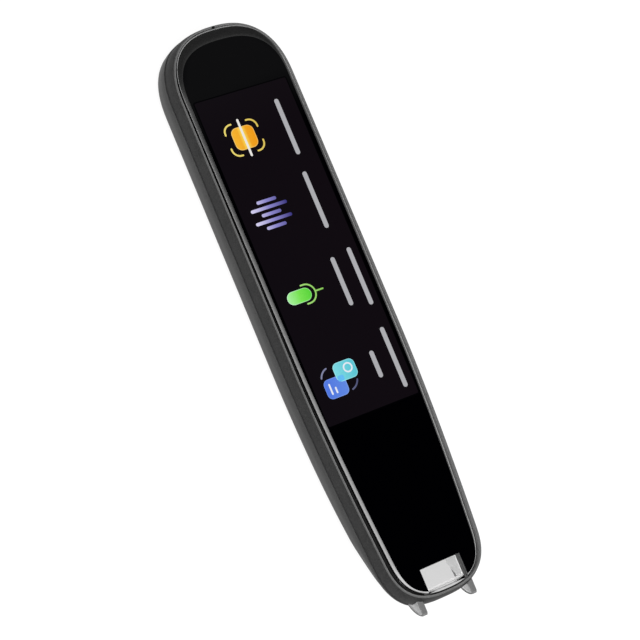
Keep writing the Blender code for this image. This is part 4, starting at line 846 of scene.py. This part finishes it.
# Polycarbonate from a polished mould, clear and faintly grey. The walls and the nose are etched in
# the mould and carry a painted glow: a faint white emission that stands in for the lamps' light
# scattered in them.
clear_head = principled(
    "clear_moulded_polycarbonate", "#dfdfdf", 0.04, IOR=1.58, Transmission_Weight=1.0
)[0]
etched_wall_painted_glow = grained(
    "etched_polycarbonate_wall_painted_glow", "#e2e2e2", "#eeeeee", 0.45, 0.20, 0.02,
    IOR=1.58, Transmission_Weight=0.35, Emission_Strength=0.26,
)
ledge = outline(-2.0, -2.0, -1.35, powers=(2.72, 2.5))
ledge = ledge[ledge[:, 1] < HEAD_REAR_Y]
ledge = ledge[np.argsort(ledge[:, 0])]
head_plate = np.vstack((ledge, [(ledge[-1, 0], HEAD_REAR_Y), (ledge[0, 0], HEAD_REAR_Y)]))
scan_head = prism("scan_head", head_plate, LEDGE_BOTTOM, HEAD_PLATE, "xy", 0.15)
side_wall = [
    (HEAD_NOSE_Y, HEAD_JOIN_Z), (HEAD_NOSE_Y, HEAD_NOSE_Z), (HEAD_FRONT_Y, HEAD_NOSE_Z),
    (HEAD_FRONT_Y, 9.4), (-68.4, HEAD_FOOT), (HEAD_REAR_Y, HEAD_FOOT),
    (HEAD_REAR_Y, HEAD_JOIN_Z),
]
parts = [
    box("pane", (-PANE_HALF, PANE_LOW_Y, 13.0), (PANE_HALF, PANE_HIGH_Y, HEAD_TOP), 0.12),
    box("nose", (-5.7, HEAD_NOSE_Y, HEAD_NOSE_Z), (5.7, HEAD_NOSE_Y + 0.5, HEAD_JOIN_Z), 0.1),
]
for side in (-1, 1):
    low, high = sorted(side * x for x in HEAD_WALL)
    parts.append(prism("wall", side_wall, low, high, "yz", 0.2))
carve(scan_head, parts, "UNION")
# The etched walls and nose get the material with the painted glow.
middles, _ = coat(scan_head, clear_head, etched_wall_painted_glow)
out = np.abs(middles[:, 0])
etched = (out > HEAD_WALL[0] - 0.075) & (out < HEAD_WALL[1] + 0.075)
etched |= middles[:, 1] < HEAD_FRONT_Y + 0.05
etched &= middles[:, 2] < LEDGE_BOTTOM - 0.05
scan_head.data.polygons.foreach_set("material_index", etched.astype(np.int32))
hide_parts("scan_frame")
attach(scan_head, "case")

# Window seal: a die-cut ring of dark grey rubber round the pane, between the plate of
# the head and the underside of the glass.
seal_rubber = grained(
    "dark_grey_silicone_rubber", "#4e4e4e", "#5a5a5a", 0.55, 0.20, 0.02, IOR=1.41
)
window_seal = box("window_seal", (-6.2, -72.85, HEAD_PLATE), (6.2, -66.1, GLASS_BOTTOM))
carve(window_seal, [box("seal_opening", (-5.46, -72.62, 12.0), (5.46, -66.6, 16.0))])
coat(window_seal, seal_rubber)
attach(window_seal, "case")


# Display: a glass panel under a smoky polariser film, with its amber tail folded down to
# a white connector on the board. Only its lit picture shows through the printed glass.
polariser = grained(
    "smoky_polariser_film", "#0d0c0e", "#131215", 0.12, 0.50, 0.002, IOR=1.49
)
dress(polariser, "display_panel")
dress(amber_film, "display_flex")
dress(white_nylon, "flex_connector")


# Front shell: the ring of wall between the cover and the glass, moulded in the same
# plastic. Its polished lip stands round the glass; slots let the clear fins through.
SHELL_FOOT, LEDGE_TOP, LIP_TOP, LIP_EDGE = 9.2, 13.35, 14.9, 0.20
FIN_SLOT_HALF = 0.925
BUTTON_Y, BUTTON_Z, CAP_HOLE = 20.0, 11.0, (10.7, 2.5, 0.9)
FOOT_FLARES = SHELL_FLARES - 0.22
LIP_POWERS = np.array((2.72, 2.42))
WALL_POWERS = np.array((2.90, 2.65))

# The wall is drawn in a darker copy of the cover's plastic with almost no gloss: painted shade on
# the side wall.
wall_plastic_painted_shade = grained(
    "dark_grey_wall_painted_shade", "#171717", "#353535", 0.52, 0.30, 0.09,
    IOR=1.53, Specular_IOR_Level=0.06,
)
# The lip is polished in the mould and smooth. Its rounding, face and inner flank are drawn in
# lighter grey copies of the wall's plastic, palest inside: painted highlight on the lip, and
# painted light in the shade of the groove.
lip_rounding_painted_sheen, lip_face_painted_highlight, flank_painted_light = [
    grained(name, dark, light, roughness, 0.30, 0.01, IOR=1.53, Specular_IOR_Level=0.3)
    for name, dark, light, roughness in (
        ("polished_lip_painted_sheen", "#4b4b4b", "#555555", 0.34),
        ("polished_lip_face_painted_highlight", "#656565", "#717171", 0.34),
        ("lip_flank_painted_light_grey", "#adadad", "#b9b9b9", 0.40),
    )
]


def wall_ring(drop):
    """Ring of the outer wall: it flares by 1 - (1 - drop) ** 2.2 down to its foot."""
    share = 1 - (1 - drop) ** 2.2
    curve = outline(
        *(FOOT_FLARES * share), powers=LIP_POWERS + (WALL_POWERS - LIP_POWERS) * share
    )
    return at_height(curve, LIP_TOP - drop * (LIP_TOP - SHELL_FOOT))


def lip_ring(side, top, tip, z):
    """Ring at the lip, whose ends are a little rounder than those of the wall's foot."""
    return at_height(outline(side, top, tip, powers=LIP_POWERS), z)


corner = np.radians(np.linspace(90, 0, 5))
flank_rings = [lip_ring(-0.45, -0.45, -0.45, z) for z in (LEDGE_TOP, 13.9, LIP_TOP - 0.10)]
lip_rings = [flank_rings[-1], lip_ring(-0.38, -0.38, -0.38, LIP_TOP)]
lip_rings += [
    lip_ring(
        *(FOOT_FLARES * 0.09 - LIP_EDGE * (1 - np.cos(a))), LIP_TOP - LIP_EDGE * (1 - np.sin(a))
    ) for a in corner
]
wall_rings = [lip_rings[-1]] + [wall_ring(drop) for drop in np.linspace(0.07, 0.97, 16)]
wall_rings += [
    at_height(outline(*(FOOT_FLARES - 0.02)), SHELL_FOOT + 0.06),
    at_height(outline(*(FOOT_FLARES - 0.10)), SHELL_FOOT),
    at_height(outline(*(SHELL_FLARES - 1.30)), SHELL_FOOT),
    lip_ring(-0.87, -0.91, -0.91, LEDGE_BOTTOM),
    lip_ring(-1.70, -1.70, -1.25, LEDGE_BOTTOM),
    lip_ring(-1.70, -1.70, -1.25, LEDGE_TOP),
    flank_rings[0],
]
# The lip's rounding, face and inner flank take the lighter greys of painted highlight.
front_shell = solid("front_shell_wall", [
    (flank_rings, True, 2), (lip_rings[:3], True, 3), (lip_rings[2:], True, 1),
    (wall_rings, True, 0),
], [wall_plastic_painted_shade, lip_rounding_painted_sheen, flank_painted_light, lip_face_painted_highlight])
cutters = [
    box("fin_slot", (x - FIN_SLOT_HALF, -81.0, 5.0), (x + FIN_SLOT_HALF, -67.5, LEDGE_BOTTOM))
    for x in (-FIN_X, FIN_X)
]
button_hole = round_box(*CAP_HOLE) + (BUTTON_Y, BUTTON_Z)
cutters.append(prism("button_hole", button_hole, 13.0, 19.6, "yz"))
cutters.append(prism("microphone_hole", arc((0.0, 75.6), 0.45), 14.1, 15.6, "xy"))
carve(front_shell, cutters)
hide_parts("front_shell")
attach(front_shell, "case")


# Power button: a round-ended cap of the case's plastic in the right wall. Its flange
# holds it in from behind, and a nub pushes a white plunger into a small switch.
CAP_FACE, CAP_FLANGE, CAP_NUB = 16.38, 13.86, 13.46
CAP_ROLL_IN, CAP_ROLL_BACK = 0.24, 0.30


def cap_ring(inset, x):
    """Ring of the cap: a round-ended outline 10 x 1.8 mm, drawn in by an inset."""
    shape = round_box(10.0 - 2 * inset, 1.8 - 2 * inset, 0.81 - 0.9 * inset)
    return on_plane(shape + (BUTTON_Y, BUTTON_Z), "yz", x)


cap_rings = [cap_ring(0.0, CAP_FLANGE + 0.3)]
cap_rings += [
    cap_ring(CAP_ROLL_IN * (1 - np.cos(a)), CAP_FACE - CAP_ROLL_BACK * (1 - np.sin(a)))
    for a in np.radians(np.linspace(0, 90, 6))
]
# The cap is drawn in the wall's darker copy of the plastic, with its painted shade.
power_cap = solid("power_cap", [(capped(cap_rings), True, 0)], [wall_plastic_painted_shade])
flange = round_box(11.4, 2.1, 0.3) + (BUTTON_Y, BUTTON_Z)
nub = arc((BUTTON_Y, BUTTON_Z), 0.6)
carve(power_cap, [
    prism("flange", flange, CAP_FLANGE, CAP_FLANGE + 0.55, "yz", 0.08),
    prism("nub", nub, CAP_NUB, CAP_FLANGE + 0.2, "yz", 0.08),
], "UNION")
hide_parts("power_button")
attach(power_cap, "button")
dress(white_nylon, "button_plunger")
dress(black_nylon, "button_switch")


# Gasket: a die-cut ring of black foam tape between the glass and the ledge of the shell.
# It bonds the glass down and keeps dust and water out.
dress(foam, "lens_gasket")


# Cover lens: toughened glass, printed black on its underside. Its edge is ground to a
# bevel and carries a thin grey metallised band; a window near the tip is left open.
# It is bonded to the ledge of the shell with the gasket.
BEVEL_FOOT, GLASS_TOP = 15.05, 15.48
WINDOW_LEFT, WINDOW_RIGHT, WINDOW_LOW_Y = -5.40, 5.80, -72.50

# Printed glass: black and polished, with wiping marks 25 mm wide. The metallised band is bright.
# The ground edges are satin: grey at the window and black outside; the ground arris at the bevel's
# foot is drawn in a pale grey that is a painted highlight of the light line it catches.
black_glass, tree, shader = principled(
    "black_printed_glass", "#000001", 0.03, IOR=1.50, Specular_IOR_Level=0.45
)
smear(tree, shader, 25.0, 0.02, 0.05)

bevel_metal = grained(
    "metallised_glass_bevel", "#adadad", "#b9b9b9", 0.20, 0.40, 0.002, Metallic=1.0
)
# The arris's pale grey is a painted highlight.
arris_painted_highlight = grained(
    "ground_arris_painted_highlight", "#848484", "#909090", 0.40, 0.40, 0.002, IOR=1.50
)
glass_edge = grained(
    "ground_glass_edge", "#070707", "#0e0e0e", 0.35, 0.25, 0.01, IOR=1.50, Specular_IOR_Level=0.2
)
window_edge = grained(
    "ground_window_edge", "#525252", "#606060", 0.40, 0.25, 0.01, IOR=1.50
)

GLASS_POWERS = LIP_POWERS + (0.0, 0.17)
glass_rings = [
    at_height(outline(-0.83, -0.83, -0.75, 0.7, powers=GLASS_POWERS), z)
    for z in (GLASS_BOTTOM, 14.6, BEVEL_FOOT)
]


def bevel_ring(b):
    """Ring of the bevel, from b = 0 at its foot to b = 1 on the flat of the glass.

    It moves in by 0.85 at the sides, 3.15 at the top and 0.55 at the tip, and its
    height is b + k b (1 - b) of the rise, where k goes from 0.3 to 0.9 at the top.
    """
    powers = GLASS_POWERS + (0.35 * b, 0.0)
    curve = outline(
        -0.83 - 0.85 * b, -0.83 - 3.15 * b, -0.75 - 0.55 * b, 0.7 - 0.18 * b, powers=powers
    )
    roll = 0.3 + 0.6 * np.clip((curve[:, 1] - 58.0) / 12.0, 0, 1)
    return at_height(curve, BEVEL_FOOT + (GLASS_TOP - BEVEL_FOOT) * b * (1 + roll * (1 - b)))


bevel_rings = [bevel_ring(b) for b in np.concatenate(([0.0, 0.05], np.linspace(0.09, 1, 12)))]
cover_glass = solid("cover_glass", [
    (straight_across(glass_rings[0]), False, 2), (glass_rings, True, 2),
    (bevel_rings[:3], True, 4), (bevel_rings[2:], True, 1),
    (straight_across(bevel_rings[-1]), False, 0),
], [black_glass, bevel_metal, glass_edge, window_edge, arris_painted_highlight], smooth=12)
carve(cover_glass, [box(
    "window", (WINDOW_LEFT, WINDOW_LOW_Y, 10.0), (WINDOW_RIGHT, PANE_HIGH_Y, 20.0), slot=3
)], smooth=12)
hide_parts("cover_lens")
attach(cover_glass, "case")


# Lit picture: what the display shows through the glass, drawn as light films 0.0028 mm
# thick on its top, six deep at most. Four plain signs in a column, from the wide end: a
# scan frame, sound bars, a microphone and two linked tiles, each beside plain bars.
FILM_LOW, FILM_STEP = 15.482, 0.0028


def stroke(path, width, level=1, ends=8):
    """Grid of a line drawn round-ended along a path.

    At each point the line's half width is w = width / 2 and its two sides are at
    plus and minus w across the path; both ends go on for w, where the half width
    falls as the square root of w^2 - d^2 at a distance d past the end.
    """
    path = np.asarray(path, float)
    half = width / 2
    ahead = np.gradient(path, axis=0)
    ahead /= np.linalg.norm(ahead, axis=1, keepdims=True)
    past = half * np.sin(np.radians(np.linspace(0, 90, ends + 1)[1:]))
    path = np.vstack((
        path[0] - past[::-1, None] * ahead[0], path, path[-1] + past[:, None] * ahead[-1],
    ))
    ahead = np.vstack((np.tile(ahead[0], (ends, 1)), ahead, np.tile(ahead[-1], (ends, 1))))
    reach = np.full(len(path), half)
    reach[:ends] = np.sqrt(np.maximum(half ** 2 - past[::-1] ** 2, 0))
    reach[-ends:] = np.sqrt(np.maximum(half ** 2 - past ** 2, 0))
    side = reach[:, None] * np.column_stack((-ahead[:, 1], ahead[:, 0]))
    high = FILM_LOW + level * FILM_STEP
    return np.stack([
        at_height(path + way * side, high - depth * FILM_STEP)
        for way, depth in ((1, 1), (-1, 1), (-1, 0), (1, 0))
    ], axis=1)


def tile(width, length, radius, centre, level=1):
    """Grid of a round-cornered plate: a closed ring of its outline and its two lids."""
    shape = round_box(width, length, radius) + centre
    high = FILM_LOW + level * FILM_STEP
    return capped([at_height(shape, high - FILM_STEP), at_height(shape, high)])


# Light through colour filters and glass: the picture is a glow and not a paint, so it
# has the gloss of the glass over it. Its dots of 0.05 mm are drawn 0.3 mm wide.
def lit_film(name, colours, start=-16.0, end=16.0):
    """A glow that runs through evenly spaced colours from x = start to x = end."""
    made, tree, shader = principled(name, "#000001", 0.03, IOR=1.50, Specular_IOR_Level=0.1)
    place = add(tree, "TexCoord").outputs["Object"]
    x = add(tree, "SeparateXYZ", {0: place}).outputs["X"]
    share = add(tree, "MapRange", {"Value": x, "From Min": start * MM, "From Max": end * MM})
    ramp = add(tree, "ValToRGB", {0: share})
    band = ramp.color_ramp.elements
    while len(band) < len(colours):
        band.new(0.5)
    for element, position, colour in zip(band, np.linspace(0, 1, len(colours)), colours):
        element.position = position
        element.color = linear(colour)
    dots = add(tree, "TexNoise", {"Vector": place, "Scale": 1000 / 0.3, "Detail": 1.0})
    dim = add(tree, "MapRange", {"Value": dots, "To Min": 0.90, "To Max": 1.08})
    glow = add(tree, "VectorMath", {0: ramp, "Scale": dim}, operation="SCALE")
    fill(shader, {"Emission Color": glow, "Emission Strength": 1.0})
    return made


film = {
    name: lit_film(f"backlit_{name}_pixels", colours.split(), *reach)
    for name, colours, *reach in (
        ("dark", "#100c10 #110c10"),
        ("grey", "#a6a6aa #b0b0b4"),
        ("white", "#efece6 #e6e3de", -5.0, -3.0),
        ("yellow", "#f3ab2a #fbe15c #f0a023", -5.2, -2.8),
        ("orange", "#f6b531 #ee9917", -7.1, -0.7),
        ("gold", "#ead772 #dcc25c", -8.8, 0.8),
        ("pale_orange", "#fcd47a #f6bc5a", -7.1, -0.7),
        ("violet", "#dad5f3 #8a85ca #38337c", -10.1, -0.1),
        ("green", "#a9f29f #79e353 #55d238", -10.1, -3.4),
        ("mint", "#c6f7cc #8fe67e", -10.1, -3.4),
        ("leaf", "#a5dd79 #8ccb5c", -6.0, 0.0),
        ("blue", "#4f76e1 #648ce4", -10.2, -3.9),
        ("cyan", "#7fdbe4 #57c3d3", -6.3, 0.0),
        ("pale_blue", "#62bbf6 #6cc4f2"),
        ("sky", "#6d90ea #84a4ec", -10.2, -3.9),
        ("ice", "#a5edf0 #8adfe6", -6.3, 0.0),
        ("slate", "#8588a6 #4c5074", -9.8, -0.8),
    )
}
film["black"] = lit_film("black_screen_border", ("#010101", "#020202"))
film["pale"] = lit_film("backlit_pale_lines", ("#e9edf6", "#dfe6ee"))


def show(name, *grids):
    """Piece of the picture: closed grids of strokes and tiles, each with its film."""
    colours = list(dict.fromkeys(colour for _, colour in grids))
    made = solid(
        name, [(grid, True, colours.index(colour)) for grid, colour in grids],
        [film[colour] for colour in colours],
    )
    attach(made, "case")


LIT_LOW_X, LIT_HIGH_X, LIT_LOW_Y, LIT_HIGH_Y = -12.95, 12.6, -27.1, 58.2
lit_size = np.array((LIT_HIGH_X - LIT_LOW_X, LIT_HIGH_Y - LIT_LOW_Y))
lit_centre = ((LIT_LOW_X + LIT_HIGH_X) / 2, (LIT_LOW_Y + LIT_HIGH_Y) / 2)
show(
    "lit_screen", (tile(*lit_size, 0.4, lit_centre), "dark"),
    (tile(*(lit_size + 0.6), 0.6, lit_centre, 0), "black"),
)

SCAN_SIGN, SCAN_TILE = (-4.0, 46.5), (-3.94, 46.5)
bend = np.vstack(([(2.0, -0.3)], arc((0, 0), 2.0, 0, 90, 14), [(-0.3, 2.0)])) + (2.42, 2.12)
show(
    "scan_sign",
    (tile(6.1, 5.9, 1.65, SCAN_TILE, 2), "pale_orange"),
    (tile(5.8, 5.6, 1.5, SCAN_TILE, 3), "orange"),
    (tile(2.4, 5.58, 0.1, SCAN_SIGN, 4), "yellow"),
    (stroke([(-4.0, 41.8), (-4.0, 51.2)], 0.60, 5), "white"),
    *(
        (stroke(bend * (side, end) + SCAN_SIGN, 0.45, 2), "gold")
        for side, end in ((-1, -1), (1, -1), (1, 1), (-1, 1))
    ),
)

SOUND_X, SOUND_Y, SOUND_PITCH, SOUND_WIDTH = -5.11, 26.57, 1.68, 0.85
show("sound_sign", *(
    (stroke([
        (SOUND_X - half, SOUND_Y + SOUND_PITCH * place),
        (SOUND_X + half, SOUND_Y + SOUND_PITCH * place),
    ], SOUND_WIDTH, 2), "violet")
    for place, half in zip((-2, -1, 0, 1, 2), (2.28, 4.58, 2.28, 4.58, 2.28))
))

VOICE_Y = 4.97
capsule = [(-8.46, VOICE_Y), (-5.22, VOICE_Y)]
cradle = arc((-4.8, VOICE_Y), 2.4, -90, 90, 14)
cradle = np.vstack(([(-5.5, 2.57)], cradle, [(-5.5, 7.37)]))
show(
    "voice_sign",
    (stroke(capsule, 3.35, 2), "mint"), (stroke(capsule, 3.05, 3), "green"),
    (stroke(cradle, 0.4, 2), "leaf"), (stroke([(-2.4, VOICE_Y), (-0.3, VOICE_Y)], 0.4, 2), "leaf"),
)

BLUE_TILE, CYAN_TILE = (-7.06, -18.77), (-3.2, -15.6)
show(
    "link_sign",
    (tile(5.9, 4.95, 1.4, BLUE_TILE, 2), "sky"), (tile(5.6, 4.65, 1.25, BLUE_TILE, 3), "blue"),
    (tile(5.95, 4.75, 1.4, CYAN_TILE, 4), "ice"), (tile(5.65, 4.45, 1.25, CYAN_TILE, 5), "cyan"),
    (tile(1.75, 1.45, 0.45, (-5.04, -17.1), 6), "pale_blue"),
    (stroke([(-8.6, -20.0), (-8.6, -17.6)], 0.45, 4), "pale"),
    (stroke([(-7.3, -20.0), (-7.3, -18.8)], 0.45, 4), "pale"),
    (stroke(arc((-2.3, -15.2), 1.1, 0, 360, 14), 0.4, 6), "pale"),
    (stroke(arc((-7.0, -16.6), 3.0, 105, 160, 14), 0.42, 2), "slate"),
    (stroke(arc((-4.0, -17.7), 3.0, -75, -20, 14), 0.42, 2), "slate"),
)

# Plain bars beside the signs: middle x, middle y and half the length between their ends.
show("word_bars", *(
    (stroke([(x, y - half), (x, y + half)], 1.2, 2), "grey") for x, y, half in (
        (7.82, 46.0, 6.95), (7.2, 26.31, 7.0), (5.16, 5.03, 5.8), (10.24, 4.8, 7.05),
        (5.02, -16.92, 2.9), (10.14, -16.81, 7.3),
    )
))
